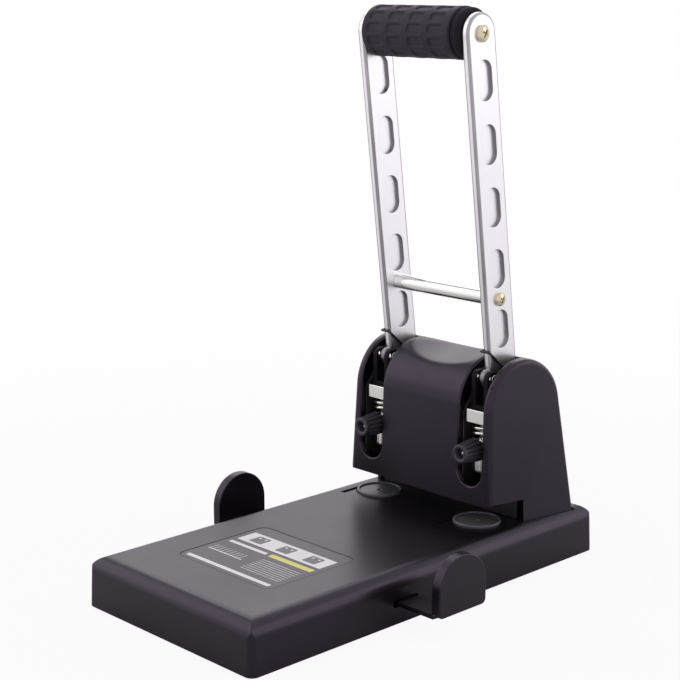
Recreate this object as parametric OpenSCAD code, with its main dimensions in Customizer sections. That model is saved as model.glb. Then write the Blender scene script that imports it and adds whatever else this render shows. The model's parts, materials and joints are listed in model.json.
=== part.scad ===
// Two-hole lever punch: a hollow base with two sliding paper guides, a tower with two punch units,
// and an upright lever of two bars with a rubber grip.
// Millimetres, +Z up, X across the object, the user sits at -Y.
// The origin is the middle of the base's footprint, on the surface that the feet stand on.

/* [Base] */
// Width of the base across the object, at its lower rim
base_w = 138; // [134:1:160]
// Length of the base from the label end to the tower end, at its lower rim
base_l = 273; // [268:1:320]
// Height of the base shell
base_h = 28.5; // [27:0.1:36]
// Rounding of the base's top edge
base_edge_r = 9.6; // [6:0.1:9.8]
// Rounding of the base's corners in plan
base_corner_r = 5; // [4:0.5:9]
// Draft of the base's sides, in degrees
base_draft = 2.4; // [0.5:0.1:3]
// Wall of the base shell
base_wall = 3; // [2.5:0.1:3.6]
// Thickness of the bottom plate
plate_t = 1.5; // [1:0.1:2.5]
// Height of the bottom plate above the base's lower rim
plate_recess = 2; // [1.6:0.1:3]
// How far the feet stand out below the base's lower rim
foot_proud = 2; // [0.8:0.1:4]
// Diameter of a foot
foot_d = 16; // [10:1:20]
// Distance of the plate screws from the base's sides
plate_screw_in = 10; // [9:0.5:14]

/* [Label] */
// Width of the label
label_w = 76; // [50:1:100]
// Length of the label
label_l = 64.7; // [40:0.1:80]
// Middle of the label along the base
label_y = -65.9; // [-80:0.1:-60]
// Rounding of the label's corners
label_corner_r = 5; // [1:0.5:8]
// Depth of the label's recess
label_depth = 0.6; // [0.5:0.1:1]
// Thickness of the label
label_t = 0.4; // [0.2:0.1:0.5]

/* [Punching] */
// Distance between the two holes
hole_pitch = 80; // [78:0.5:84]
// Diameter of a punched hole
punch_d = 6; // [5:0.1:7]
// Bore of the hollow punches
punch_bore = 4.6; // [3.5:0.1:4.9]
// Place of the punches along the base
punch_y = 69; // [60:1:76]
// Distance from the holes to the paper stop
stop_depth = 12; // [11:0.5:13]
// Height of the paper throat above the base
throat_h = 11.5; // [8:0.5:13]
// Stroke of the punches
stroke = 13; // [11:0.5:13.5]
// Thickness of the paper stop
stop_t = 2.5; // [1.5:0.1:3]

/* [Cutting discs] */
// Distance of a disc's middle in front of its punch, so that a turn brings a fresh place
disc_front = 6.5; // [6:0.1:8]
// Diameter of a cutting disc
disc_d = 28; // [22:0.5:32]
// Height of a disc's rim above the base
disc_rim_h = 1.4; // [1:0.1:1.5]
// Thickness of a disc
disc_t = 3.8; // [3:0.1:5]
// Diameter of the stem that a disc turns on
disc_stem_d = 8; // [5:0.5:10]

/* [Tower] */
// Radius of the tower's arched top
arch_r = 28.6; // [27:0.1:32]
// Wall of the tower
tower_wall = 2.5; // [2:0.1:3]
// Distance from a punch to the tower's side, at the front
tower_side = 17.9; // [17:0.1:18.2]
// Widening of the tower towards the back, in degrees
tower_taper = 4.86; // [3:0.1:6]
// Draft of the tower's sides, in degrees
tower_draft = 2.7; // [1:0.1:3]
// Lean of the tower's front, in degrees
tower_front_lean = 1.66; // [0.5:0.1:2.5]
// Lean of the tower's back, in degrees
tower_back_lean = 8.7; // [5:0.1:9]
// Height of the tower's front lip above the underside of the guide plates
tower_lip = 1.7; // [0.5:0.1:2.5]
// Width of the tower's slots
slot_w = 18; // [16:0.5:18.5]
// Height of a slot's lower end above the front lip
slot_rise = 9.8; // [7:0.1:10]
// Distance of a slot's back end behind the middle of the arch
slot_back = 10; // [9:0.5:14]
// Radius of the scoop in the tower's top
scoop_r = 105; // [95:1:140]
// Slope of the scoop's floor, in degrees
scoop_slope = 10.5; // [8:0.5:12]
// Depth of the scoop below the top of the arch
scoop_depth = 3.5; // [1.5:0.1:4]

/* [Frames] */
// Thickness of a frame's cheeks
cheek_t = 2.3; // [1.5:0.1:2.5]
// Thickness of a frame's guide plate
guide_plate_t = 3.4; // [2.5:0.1:4]
// Thickness of a frame's foot
frame_foot_t = 4; // [3:0.5:5]

/* [Lever] */
// Forward lean of the lever at rest, in degrees
lever_lean = 7.35; // [4:0.05:10]
// Distance from the axle to the middle of the grip
lever_l = 203.6; // [196:0.1:230]
// Width of a bar
bar_w = 23; // [20:0.5:23.5]
// Thickness of a bar
bar_t = 5; // [4:0.1:5.2]
// Depth of the hollows in a bar's faces
bar_hollow_depth = 2; // [1:0.1:2.2]
// Width of the hollows in a bar
bar_hollow_w = 12; // [8:0.5:14]
// Length of the hollows in a bar
bar_hollow_l = 22.6; // [16:0.2:24]
// Distance between neighbouring hollows
bar_hollow_pitch = 35.75; // [34:0.25:36]
// Distance from the axle to the first hollow
bar_hollow_first = 35; // [33:0.5:36]
// Number of hollows in a bar's face
bar_hollow_count = 5; // [3:1:5]
// Diameter of the axle
axle_d = 8; // [6:0.5:9]
// Distance of the axle behind the punches
axle_back = 13.3; // [13:0.1:14]
// Distance from the axle to a drive pin
crank_r = 15.4; // [15:0.1:16]
// Angle of a drive pin above the axle at rest, in degrees
crank_up = 27.5; // [25:0.5:30]
// Diameter of a drive pin
pin_d = 5; // [4:0.1:5.5]
// Diameter of the spacer rod
rod_d = 9; // [5:0.5:9.5]
// Diameter of the grip
grip_d = 29.4; // [26:0.1:34]
// Diameter of the tube inside the grip
grip_core_d = 16; // [12:0.5:20]
// Diameter of the lever screws' heads
lever_screw_d = 9.5; // [7:0.1:11]

/* [Punch units] */
// Diameter of a holder's sleeve
sleeve_d = 16; // [14:0.5:16.5]
// Length of a holder's sleeve
sleeve_l = 20.2; // [18:0.1:24]
// Diameter of a holder's neck
neck_d = 9.8; // [8.5:0.1:10]
// Length of a holder's neck
neck_l = 10.6; // [9.5:0.1:12]
// Width of a holder's block
block_w = 13; // [11:0.5:14]
// Length of a holder's block
block_l = 18; // [16:0.5:18]
// Height of a holder's block
block_h = 7.9; // [6:0.1:8]
// Height of a drive pin above a holder's block
yoke_h = 17.8; // [17:0.1:19]
// Width of a yoke
yoke_w = 12.5; // [11:0.1:13]
// Wall round a yoke's eye
yoke_wall = 1.5; // [1.2:0.1:2]
// Diameter of a knob's front
knob_d = 11; // [9:0.5:12]
// Diameter of a knob's back
knob_back_d = 14.4; // [12:0.2:15]
// Length of a knob
knob_l = 14.7; // [10:0.1:18]
// Height of a knob's axis above the sleeve's lower end
knob_rise = 15.2; // [12:0.1:15.5]
// Number of grooves round a knob
knob_grooves = 14; // [10:1:18]
// Diameter of a knob's screw
knob_screw_d = 3; // [3:0.5:4]

/* [Springs] */
// Wire of the lever's return springs
return_wire = 1.2; // [0.8:0.1:1.3]
// Mean radius of the return springs' coils
return_r = 7.2; // [6.6:0.1:7.6]
// Number of curls in a return spring
return_turns = 2; // [1:1:2]
// Step of a return spring from curl to curl
return_pitch = 1.65; // [1.65:0.05:1.9]
// Wire of the clamp springs
clamp_wire = 2.3; // [1.5:0.1:2.3]
// Mean radius of the clamp springs' coils
clamp_r = 7.2; // [6.4:0.1:7.2]
// Number of curls in a clamp spring
clamp_turns = 2.5; // [2:0.5:3]

/* [Paper guides] */
// Distance of the guide ears from the base's sides at rest
guide_out = 23; // [22:1:40]
// Width of a guide ear
ear_w = 36.5; // [30:0.5:40]
// Thickness of a guide ear
ear_t = 6; // [3:0.5:7]
// Height of a guide ear
ear_h = 31.8; // [24:0.1:40]
// Radius of a guide ear's lower corners
ear_corner_r = 3; // [1:0.5:5]
// Shift of each ear's middle from the pinion
ear_shift = 4.5; // [2:0.5:6]
// Height of the guide arms above the base's lower rim
arm_rise = 10.2; // [9.7:0.1:11.5]
// Thickness of a guide arm
arm_t = 2.5; // [2:0.1:3]
// Width of a guide arm
arm_w = 15; // [12:0.5:17]
// Place of the pinion along the base
pinion_y = -9; // [-14:0.5:0]
// Module of the racks and the pinion
gear_module = 1; // [0.9:0.05:1.1]
// Number of the pinion's teeth
pinion_teeth = 16; // [16:2:20]
// Inward travel of a guide
guide_in_travel = 22; // [10:1:22]
// Outward travel of a guide
guide_out_travel = 35; // [20:1:36]

/* [Fits] */
// Radial clearance of running fits
fit = 0.05; // [0.02:0.01:0.1]
// Clearance between parts that pass each other
clear = 0.3; // [0.2:0.05:0.4]

/* [Hidden] */
$fn = 64;
eps = 0.01;
// How far a straight side starts inside the arc that it runs into
tuck = 0.02;
body_black = [0.13, 0.13, 0.14];
rubber_black = [0.08, 0.08, 0.09];
steel = [0.72, 0.72, 0.75];
bright = [0.86, 0.86, 0.88];
dark_steel = [0.22, 0.22, 0.24];
label_grey = [0.62, 0.62, 0.60];

// Heights from the surface up to the paper throat
rim_z = foot_proud;
top_z = foot_proud + base_h;
ceiling_z = top_z - base_wall;
plate_z = rim_z + plate_recess;
plate_top_z = plate_z + plate_t;
throat_z = top_z + throat_h;
guide_top_z = throat_z + guide_plate_t;
lip_z = throat_z + tower_lip;

// Base screws and bosses
plate_boss_r = 4.5;
plate_screw_r = 1.5;
plate_head_r = 3;
plate_head_h = 1.3;
plate_screw_x = base_w / 2 - plate_screw_in;
plate_screw_y = base_l / 2 - plate_screw_in;
plate_screw_mid_y = 40;
foot_in = 24;
screw_r = 2;
screw_head_r = 3.6;
screw_head_h = 2.4;
screw_boss_r = 4.5;
screw_depth = 10;
seat_d = 1.9;
seat_gap = 0.2;

// Cutting discs
disc_y = punch_y - disc_front;
disc_top_z = top_z + disc_rim_h;
disc_z = disc_top_z - disc_t;
disc_boss_d = 6;
disc_pocket_r = disc_d / 2 + 0.4;
disc_rim_w = 1.6;
disc_dish = 1;
disc_dot_r = 1.2;
disc_stem_l = 6;
notch_w = 3;
notch_out = 13.3;
notch_l = 19;
notch_depth = 1.6;

// Punch units at rest, with the drive pins a little forward of the punches
punch_x = hole_pitch / 2;
tip_end_h = 0.6;
tip_z = top_z + tip_end_h + stroke;
sleeve_gap = 0.6;
sleeve_z = guide_top_z + stroke + sleeve_gap;
neck_z = sleeve_z + sleeve_l;
block_front = 10;
block_z = neck_z + neck_l;
yoke_z = block_z + block_h;
pin_z = yoke_z + yoke_h;
knob_z = sleeve_z + knob_rise;
sleeve_edge_r = 2.5;
punch_top_z = block_z + 3;

// Lever axle and crank
axle_y = punch_y + axle_back;
axle_z = pin_z - crank_r * sin(crank_up);
pin_y = axle_y - crank_r * cos(crank_up);
pin_front_y = axle_y - crank_r;
lever_range = crank_up + asin(stroke / crank_r - sin(crank_up));
axle_bore_r = axle_d / 2 + fit;
lug_r = 4.5;
crank_deg = 180 - crank_up - lever_lean;
crank_pin = crank_r * [cos(crank_deg), sin(crank_deg)];
pin_reach = 6.4;
eye_gap = 0.4;
eye_r = pin_d / 2 + eye_gap;
prong_r = eye_r + yoke_wall;
fork_gap = bar_t / 2 + 0.5;
fork_floor = 2;

// Tower, placed by the axle and the punches
arch_back = 1.7;
arch_drop = 11;
arch_y = axle_y + arch_back;
arch_z = axle_z - arch_drop;
tower_z = top_z - seat_d;
tower_ref = 12;
tower_ref_y = punch_y - tower_ref;
tower_half = punch_x + tower_side;
stop_y = punch_y + stop_depth;
slot_r = slot_w / 2;
slot_z = lip_z + slot_rise + slot_r;
slot_end_y = arch_y + slot_back;
roof_t = 6.7;
scoop_in = 11;
scoop_half = punch_x - scoop_in;
reach = 400;
tower_boss_r = 3.6;
tower_boss_h = 22;
tower_boss_back = 8;
tower_boss_pitch = 16;
tower_boss_y = [stop_y + tower_boss_back, stop_y + tower_boss_back + tower_boss_pitch];
tower_screw_short = 5;

// Frames
cheek_in = sleeve_d / 2 + 0.7;
frame_front_y = punch_y - 9.7;
frame_leg_y = stop_y + 11;
frame_web_y = axle_y + bar_w / 2 + 1.2;
frame_web_t = 3;
frame_back_y = frame_web_y + frame_web_t;
frame_foot_l = 15;
cheek_r = 12;
frame_shoulder_z = arch_z - 2.4;
frame_screw_y = frame_back_y + 7.5;
frame_screw_x = 5;
stop_over = 14;
stop_half = punch_x + stop_over;
stop_flange_t = 2;
stop_flange_over = 8;
stop_screw_x = punch_x / 2;
stop_flange_half = stop_screw_x + stop_flange_over;
stop_screw_y = stop_y + 6.8;
clip_t = 0.8;
clip_r = 6;
axle_half = punch_x + cheek_in + cheek_t + clip_t + 0.4;

// Lever pieces
lever_screw_r = 2.5;
lever_head_h = 3;
rod_at = bar_hollow_first + bar_hollow_pitch / 2;
rod_screw_r = 1.5;
rod_head_r = lever_screw_d * 0.42;
grip_half = punch_x - bar_t / 2 - 0.2;
grip_edge_r = 3;
bar_outer = punch_x + bar_t / 2;

// Springs
wire_gap = 0.35;
wire_sides = 6;
curl_rings = 8;
return_leg_deg = 50.2 - lever_lean;
return_x = bar_t / 2 + wire_gap + return_wire / 2;
hook_y = bar_w / 2 + wire_gap + return_wire / 2;
hook_round = 0.85;
hook_tail = 3.4;
clamp_z = neck_z + clear;
clamp_start_deg = -65;
clamp_pitch = (neck_l - 2 * clear - clamp_wire) / clamp_turns;

// Guides, racks and pinion
arm_z = rim_z + arm_rise;
arm_top_z = arm_z + arm_t;
pitch_r = gear_module * pinion_teeth / 2;
tooth_pitch = PI * gear_module;
addendum = 0.9 * gear_module;
dedendum = 1.15 * gear_module;
backlash = 0.5;
pressure = 20;
arm_back_y = -(pitch_r + dedendum);
arm_front_y = arm_back_y - arm_w;
ear_x = base_w / 2 + guide_out;
arm_end_x = -(guide_out_travel + 4.5);
rack_first = ceil(-(guide_out_travel + 3) / tooth_pitch);
rack_last = floor((guide_in_travel + 3) / tooth_pitch);
post_r = 3;
tray_half_x = base_w / 2 - base_wall - 5;
tray_rail_t = 2.4;
tray_half_y = -arm_front_y + clear + tray_rail_t;
tray_floor_t = 3;
tray_z = arm_z - clear - tray_floor_t;
tray_leg_r = 4;
keeper_x = [25, 50];
keeper_t = 2;
pinion_screw_r = 1.25;
pinion_head_r = 4.6;
pinion_head_h = 1.6;

// Half-width of the tower's outside at a place along the base and a height
function tower_x(y, z) =
    tower_half + (y - tower_ref_y) * tan(tower_taper) - (z - top_z) * tan(tower_draft);

// Rectangle with rounded corners, about its middle
module round_rect(w, l, r) {
    square([w - 2 * r, l], center = true);
    square([w, l - 2 * r], center = true);
    for (x = [-1, 1], y = [-1, 1])
        translate([x * (w / 2 - r), y * (l / 2 - r)])
            circle(r = r);
}

// Two equal circles and the strip between them
module stadium(from, to, r) {
    run = to - from;
    translate(from)
        circle(r = r);
    translate(to)
        circle(r = r);
    translate(from)
        rotate(atan2(run.y, run.x))
            translate([0, -r])
                square([norm(run), 2 * r]);
}

// Distance from the foot of a drafted side to the middle of its top rounding
function edge_in(h, edge_r, draft) = (edge_r + (h - edge_r) * sin(draft)) / cos(draft);

// Upright outline with drafted sides and rounded top edges, about its middle
module domed_outline(w, h, edge_r, draft) {
    mid = w / 2 - edge_in(h, edge_r, draft);
    round_z = h - edge_r;
    side = [mid, round_z] + (edge_r - tuck) * [cos(draft), sin(draft)];
    polygon([
        [-w / 2, 0],
        [-side.x, side.y],
        [-mid, round_z],
        [-mid, h],
        [mid, h],
        [mid, round_z],
        side,
        [w / 2, 0]
    ]);
    for (s = [-1, 1])
        translate([s * mid, round_z])
            circle(r = edge_r);
}

// Block with drafted sides, rounded corners in plan and a rounded top edge
module domed_block(w, l, h, edge_r, corner_r, draft) {
    intersection() {
        along_x(w)
            domed_outline(l, h, edge_r, draft);
        rotate(90)
            along_x(l)
                domed_outline(w, h, edge_r, draft);
        corner_column(w, l, h, corner_r, draft);
    }
}

// Column that rounds a block's upright corners, with cones that follow the draft
module corner_column(w, l, h, corner_r, draft) {
    cone_r = corner_r + tuck;
    cube([w - 2 * corner_r, 2 * l, 3 * h], center = true);
    cube([2 * w, l - 2 * corner_r, 3 * h], center = true);
    for (x = [-1, 1], y = [-1, 1])
        translate([x * (w / 2 - corner_r), y * (l / 2 - corner_r), 0])
            cylinder(r1 = cone_r, r2 = cone_r - h * tan(draft), h = h);
}

// Extrude (Y, Z) outlines along X, about x = 0
module along_x(w) {
    for (i = [0 : $children - 1])
        translate([-w / 2, 0, 0])
            rotate([90, 0, 90])
                linear_extrude(w)
                    children(i);
}

// A cylinder along X, about x = 0
module rod_x(r, w) {
    rotate([0, 90, 0])
        cylinder(r = r, h = w, center = true);
}

// Put children in the lever's own frame: axle at the origin, bars along +Z
module in_lever() {
    translate([0, axle_y, axle_z])
        rotate([lever_lean, 0, 0])
            children();
}

// Copies at the left and the right punch
module at_punches() {
    for (s = [-1, 1])
        translate([s * punch_x, 0, 0])
            children();
}

// Tube along a path: rings carried along the path without twist, joined by triangles
function unit(v) = v / norm(v);
function path_dir(p, i) = unit(p[min(i + 1, len(p) - 1)] - p[max(i - 1, 0)]);
function level(n, t) = unit(n - (n * t) * t);
function path_normals(p, start) = [
    for (i = 0, n = level(start, path_dir(p, 0));
         i < len(p);
         i = i + 1, n = i < len(p) ? level(n, path_dir(p, i)) : n)
        n
];
function ring(c, t, n, r) = [
    for (k = [0 : wire_sides - 1])
        let (a = 360 * k / wire_sides)
            c + r * (cos(a) * n + sin(a) * cross(t, n))
];
module wire_tube(path, d, start) {
    normals = path_normals(path, start);
    points = [
        for (i = [0 : len(path) - 1])
            each ring(path[i], path_dir(path, i), normals[i], d / 2)
    ];
    last = (len(path) - 1) * wire_sides;
    sides = [
        for (i = [0 : len(path) - 2], k = [0 : wire_sides - 1])
            let (
                a = i * wire_sides + k,
                b = i * wire_sides + (k + 1) % wire_sides
            )
                each [[a, a + wire_sides, b], [b, a + wire_sides, b + wire_sides]]
    ];
    caps = [
        for (k = [1 : wire_sides - 2])
            each [[0, k, k + 1], [last, last + k + 1, last + k]]
    ];
    polyhedron(points = points, faces = concat(sides, caps));
}

// Least gap between stretches of a path that lie at least most of a curl apart
function self_gap(p, d) = min([
    for (i = [0 : len(p) - 1], j = [i + curl_rings - 2 : 1 : len(p) - 1])
        norm(p[i] - p[j])
]) - d;

// Return spring in the lever's frame: coil about the axle, leg, and a hook over the bar's front edge
return_coil = [
    for (i = [0 : return_turns * curl_rings])
        let (a = return_leg_deg - 360 * (return_turns - i / curl_rings))
            [return_x + return_pitch * (return_turns - i / curl_rings), return_r * cos(a), return_r * sin(a)]
];
leg_dir = [0, -sin(return_leg_deg), cos(return_leg_deg)];
leg_start = return_coil[len(return_coil) - 1];
leg_l = (leg_start.y + hook_y) / sin(return_leg_deg);
leg_end = leg_start + leg_l * leg_dir;
hook_side = leg_end - hook_round / sin(return_leg_deg) * leg_dir;
hook_corner = leg_end - [hook_round * 0.3, 0, 0] - 0.3 * hook_round * leg_dir;
return_path = concat(
    return_coil,
    [
        leg_start + 0.5 * leg_l * leg_dir,
        hook_side,
        hook_corner,
        leg_end - [hook_round, 0, 0],
        [-leg_end.x + hook_round, leg_end.y, leg_end.z],
        [-hook_corner.x, hook_corner.y, leg_end.z],
        [-leg_end.x, leg_end.y + hook_round, leg_end.z],
        [-leg_end.x, leg_end.y + hook_tail, leg_end.z]
    ]
);

// Clamp spring about the punch's axis
clamp_path = [
    for (i = [0 : clamp_turns * curl_rings])
        let (a = clamp_start_deg + 360 * i / curl_rings)
            [clamp_r * cos(a), clamp_r * sin(a), clamp_z + clamp_wire / 2 + clamp_pitch * i / curl_rings]
];
echo(return_spring_least_gap = self_gap(return_path, return_wire));
echo(clamp_spring_least_gap = self_gap(clamp_path, clamp_wire));
echo(lever_range_degrees = lever_range);
echo(punch_metres_per_radian = stroke / 1000 / (lever_range * PI / 180));

// Places of the base's screws
plate_screw_places = [
    for (x = [-1, 1], y = [-plate_screw_y, plate_screw_mid_y, plate_screw_y])
        [x * plate_screw_x, y]
];
frame_screw_places = [
    for (s = [-1, 1], x = [-1, 1])
        [s * punch_x + x * frame_screw_x, frame_screw_y, top_z + frame_foot_t]
];
stop_screw_places = [
    for (s = [-1, 1])
        [s * stop_screw_x, stop_screw_y, top_z + stop_flange_t]
];
tower_screw_places = [
    for (s = [-1, 1], y = tower_boss_y)
        [s * (tower_x(y, top_z + tower_boss_h) - tower_wall - 1), y]
];

module base() {
    color(body_black)
    difference() {
        union() {
            base_shell();
            base_bosses();
        }
        translate([0, label_y, top_z - label_depth])
            linear_extrude(reach)
                round_rect(label_w, label_l, label_corner_r);
        at_punches()
            disc_pocket();
        tower_seat();
        base_screw_holes();
        for (turn = [0, 180])
            translate([0, pinion_y, 0])
                rotate(turn)
                    guide_slot();
    }
}

module base_shell() {
    difference() {
        translate([0, 0, rim_z])
            domed_block(base_w, base_l, base_h, base_edge_r, base_corner_r, base_draft);
        translate([0, 0, rim_z - 1])
            domed_block(
                base_w - 2 * base_wall, base_l - 2 * base_wall, base_h - base_wall + 1,
                base_edge_r - base_wall, base_corner_r, base_draft
            );
    }
}

// Bosses under the base's top, and ribs that keep the guide arms down
module base_bosses() {
    boss_top = ceiling_z + base_wall / 2;
    for (p = plate_screw_places)
        translate([p.x, p.y, plate_top_z])
            cylinder(r = plate_boss_r, h = boss_top - plate_top_z);
    for (p = concat(frame_screw_places, stop_screw_places))
        translate([p.x, p.y, top_z - screw_depth])
            cylinder(r = screw_boss_r, h = boss_top - top_z + screw_depth);
    at_punches()
        translate([0, disc_y, disc_z - disc_boss_d])
            cylinder(r = disc_pocket_r + base_wall, h = boss_top - disc_z + disc_boss_d);
    for (s = [-1, 1], x = keeper_x)
        translate([s * x - keeper_t / 2, pinion_y + arm_front_y, arm_top_z + clear])
            cube([keeper_t, -2 * arm_front_y, boss_top - arm_top_z - clear]);
}

module disc_pocket() {
    translate([0, disc_y, disc_z - clear])
        cylinder(r = disc_pocket_r, h = reach);
    translate([0, disc_y, 0])
        cylinder(r = disc_stem_d / 2 + fit, h = reach);
    translate([-notch_out - notch_w / 2, disc_y - notch_l, top_z - notch_depth])
        cube([notch_w, notch_l, reach]);
}

// Groove round the tower's foot, behind the paper stop
module tower_seat() {
    intersection() {
        translate([-reach / 2, stop_y - seat_gap, tower_z])
            cube([reach, reach, reach]);
        difference() {
            tower_block(-seat_gap);
            tower_block(tower_wall + seat_gap);
        }
    }
}

module base_screw_holes() {
    for (p = plate_screw_places)
        translate([p.x, p.y, 0])
            cylinder(r = plate_screw_r + fit, h = plate_top_z + screw_depth);
    for (p = concat(frame_screw_places, stop_screw_places))
        translate([p.x, p.y, top_z - screw_depth - 1])
            cylinder(r = screw_r + fit, h = screw_depth + 2);
    for (p = tower_screw_places) {
        translate([p.x, p.y, ceiling_z - 1])
            cylinder(r = screw_r + clear, h = base_wall + 2);
        translate([p.x, p.y, ceiling_z - screw_head_h - 4])
            cylinder(r = screw_head_r + clear, h = screw_head_h + 4);
    }
}

// Opening in the base's side for a guide arm, in the pinion's frame
module guide_slot() {
    translate([0, arm_front_y - 2.5, arm_z - 0.5])
        cube([base_w, arm_w + 2.5 + dedendum, arm_t + 1]);
}

module base_plate() {
    color(dark_steel)
    difference() {
        translate([0, 0, plate_z])
            linear_extrude(plate_t)
                round_rect(
                    base_w - 2 * base_wall - 2 * clear, base_l - 2 * base_wall - 2 * clear,
                    base_corner_r
                );
        for (p = plate_screw_places)
            translate([p.x, p.y, 0])
                cylinder(r = plate_screw_r + clear, h = reach);
    }
}

module plate_screws() {
    color(steel)
    for (p = plate_screw_places)
        translate([p.x, p.y, plate_z - plate_head_h]) {
            cylinder(r = plate_head_r, h = plate_head_h);
            cylinder(r = plate_screw_r, h = plate_head_h + plate_t + screw_depth - 2);
        }
}

module feet() {
    color(rubber_black)
    for (x = [-1, 1], y = [-1, 1])
        translate([x * (base_w / 2 - foot_in), y * (base_l / 2 - foot_in), 0])
            cylinder(r = foot_d / 2, h = plate_z);
}

module label() {
    color(label_grey)
    translate([0, label_y, top_z - label_depth])
        linear_extrude(label_t)
            round_rect(label_w - 2 * clear, label_l - 2 * clear, label_corner_r - clear);
}

// Hard plastic disc that the punch cuts into; it can be turned to a fresh place
module disc(side) {
    color(body_black)
    translate([side * punch_x, disc_y, 0])
        rotate_extrude()
            difference() {
                union() {
                    translate([0, disc_z])
                        square([disc_d / 2, disc_t]);
                    translate([0, disc_z - disc_stem_l])
                        square([disc_stem_d / 2, disc_stem_l + eps]);
                }
                translate([0, disc_top_z - disc_dish])
                    square([disc_d / 2 - disc_rim_w, disc_t]);
                translate([0, disc_top_z - 2 * disc_dish])
                    square([disc_dot_r, disc_t]);
            }
}

// One guide: ear, arm and rack. The left guide is the right one turned about the pinion.
module guide(turn) {
    color(body_black)
    translate([0, pinion_y, 0])
        rotate(turn) {
            translate([0, 0, arm_z])
                linear_extrude(arm_t) {
                    translate([arm_end_x, arm_front_y])
                        square([ear_x - arm_end_x + ear_t / 2, arm_w]);
                    rack_teeth();
                }
            translate([ear_x + ear_t / 2, -ear_shift, arm_z])
                along_x(ear_t)
                    ear_outline();
        }
}

module ear_outline() {
    intersection() {
        translate([-ear_w / 2, 0])
            square([ear_w, ear_h]);
        union() {
            translate([0, ear_h - ear_w / 2])
                circle(r = ear_w / 2);
            translate([-ear_w / 2, ear_corner_r])
                square([ear_w, ear_h - ear_w / 2 - ear_corner_r]);
            translate([-ear_w / 2 + ear_corner_r, 0])
                square([ear_w - 2 * ear_corner_r, ear_corner_r + tuck]);
            for (s = [-1, 1])
                translate([s * (ear_w / 2 - ear_corner_r), ear_corner_r])
                    circle(r = ear_corner_r);
        }
    }
}

// Teeth of a rack towards +Y, with a gap at x = 0
module rack_teeth() {
    tip = tooth_pitch / 4 - addendum * tan(pressure) - backlash / 4;
    root = tooth_pitch / 4 + dedendum * tan(pressure) - backlash / 4;
    for (i = [rack_first : rack_last - 1])
        translate([(i + 0.5) * tooth_pitch, -pitch_r])
            polygon([
                [-root, -dedendum - eps],
                [root, -dedendum - eps],
                [tip, addendum],
                [-tip, addendum]
            ]);
}

// Pinion with involute flanks and a tooth on each axis
function involute(a) = tan(a) * 180 / PI - a;
module pinion() {
    base_r = pitch_r * cos(pressure);
    root_r = pitch_r - dedendum;
    outer_r = pitch_r + addendum;
    steps = 5;
    half = 90 / pinion_teeth - backlash / 4 / pitch_r * 180 / PI;
    flank = [
        for (k = [0 : steps])
            let (r = base_r + (outer_r - base_r) * k / steps)
                [r, half + involute(pressure) - involute(acos(min(1, base_r / r)))]
    ];
    side = concat([[root_r, flank[0][1]]], flank);
    color(bright)
    translate([0, pinion_y, arm_z])
        linear_extrude(arm_t)
            difference() {
                polygon([
                    for (i = [0 : pinion_teeth - 1], s = [-1, 1], k = [0 : len(side) - 1])
                        let (
                            q = side[s < 0 ? k : len(side) - 1 - k],
                            a = 360 * i / pinion_teeth + s * q[1]
                        )
                            q[0] * [cos(a), sin(a)]
                ]);
                circle(r = post_r + fit);
            }
}

module pinion_screw() {
    color(steel)
    translate([0, pinion_y, arm_top_z + clear]) {
        cylinder(r = pinion_head_r, h = pinion_head_h);
        translate([0, 0, -arm_t - tray_floor_t / 2])
            cylinder(r = pinion_screw_r, h = arm_t + tray_floor_t / 2 + eps);
    }
}

// Tray that the guide arms slide on, with the pinion's post
module guide_tray() {
    color(dark_steel)
    translate([0, pinion_y, 0])
        difference() {
            union() {
                translate([-tray_half_x, -tray_half_y, tray_z])
                    cube([2 * tray_half_x, 2 * tray_half_y, tray_floor_t]);
                for (s = [-1, 1])
                    translate([-tray_half_x, s * (tray_half_y - tray_rail_t / 2) - tray_rail_t / 2, tray_z])
                        cube([2 * tray_half_x, tray_rail_t, arm_top_z - tray_z]);
                for (x = [-1, 1], y = [-1, 1])
                    translate([x * (tray_half_x - tray_leg_r), y * (tray_half_y - tray_leg_r), plate_top_z])
                        cylinder(r = tray_leg_r, h = tray_z - plate_top_z + eps);
                translate([0, 0, tray_z])
                    cylinder(r = post_r, h = arm_top_z - tray_z + clear);
            }
            translate([0, 0, arm_z - tray_floor_t])
                cylinder(r = pinion_screw_r + fit, h = reach);
        }
}

// Side outline of the tower below its arch, set in from the outside
module tower_flank(inset, low) {
    r = arch_r - inset - tuck;
    front = [arch_y - r * cos(tower_front_lean), arch_z + r * sin(tower_front_lean)];
    back = [arch_y + r * cos(tower_back_lean), arch_z + r * sin(tower_back_lean)];
    polygon([
        [front.x - (front.y - low) * tan(tower_front_lean), low],
        front,
        [arch_y, arch_z],
        back,
        [back.x + (back.y - low) * tan(tower_back_lean), low]
    ]);
}

// The tower's block between its two drafted sides, set in from the outside
module tower_block(inset, low = tower_z) {
    difference() {
        along_x(2 * base_w) {
            translate([arch_y, arch_z])
                circle(r = arch_r - inset);
            tower_flank(inset, low);
        }
        for (s = [0, 1])
            mirror([s, 0, 0])
                translate([tower_half, tower_ref_y, top_z])
                    rotate([0, -tower_draft, -tower_taper])
                        translate([-inset, -reach / 2, -reach / 2])
                            cube(reach);
    }
}

module tower() {
    color(body_black)
    difference() {
        tower_block(0);
        tower_cavity();
        at_punches()
            tower_slot();
        translate([-reach / 2, -reach, 0])
            cube([reach, reach + stop_y, lip_z]);
        scoop();
        for (p = tower_screw_places)
            translate([p.x, p.y, 0])
                cylinder(r = screw_r + fit, h = top_z + tower_boss_h - 3);
    }
}

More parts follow.
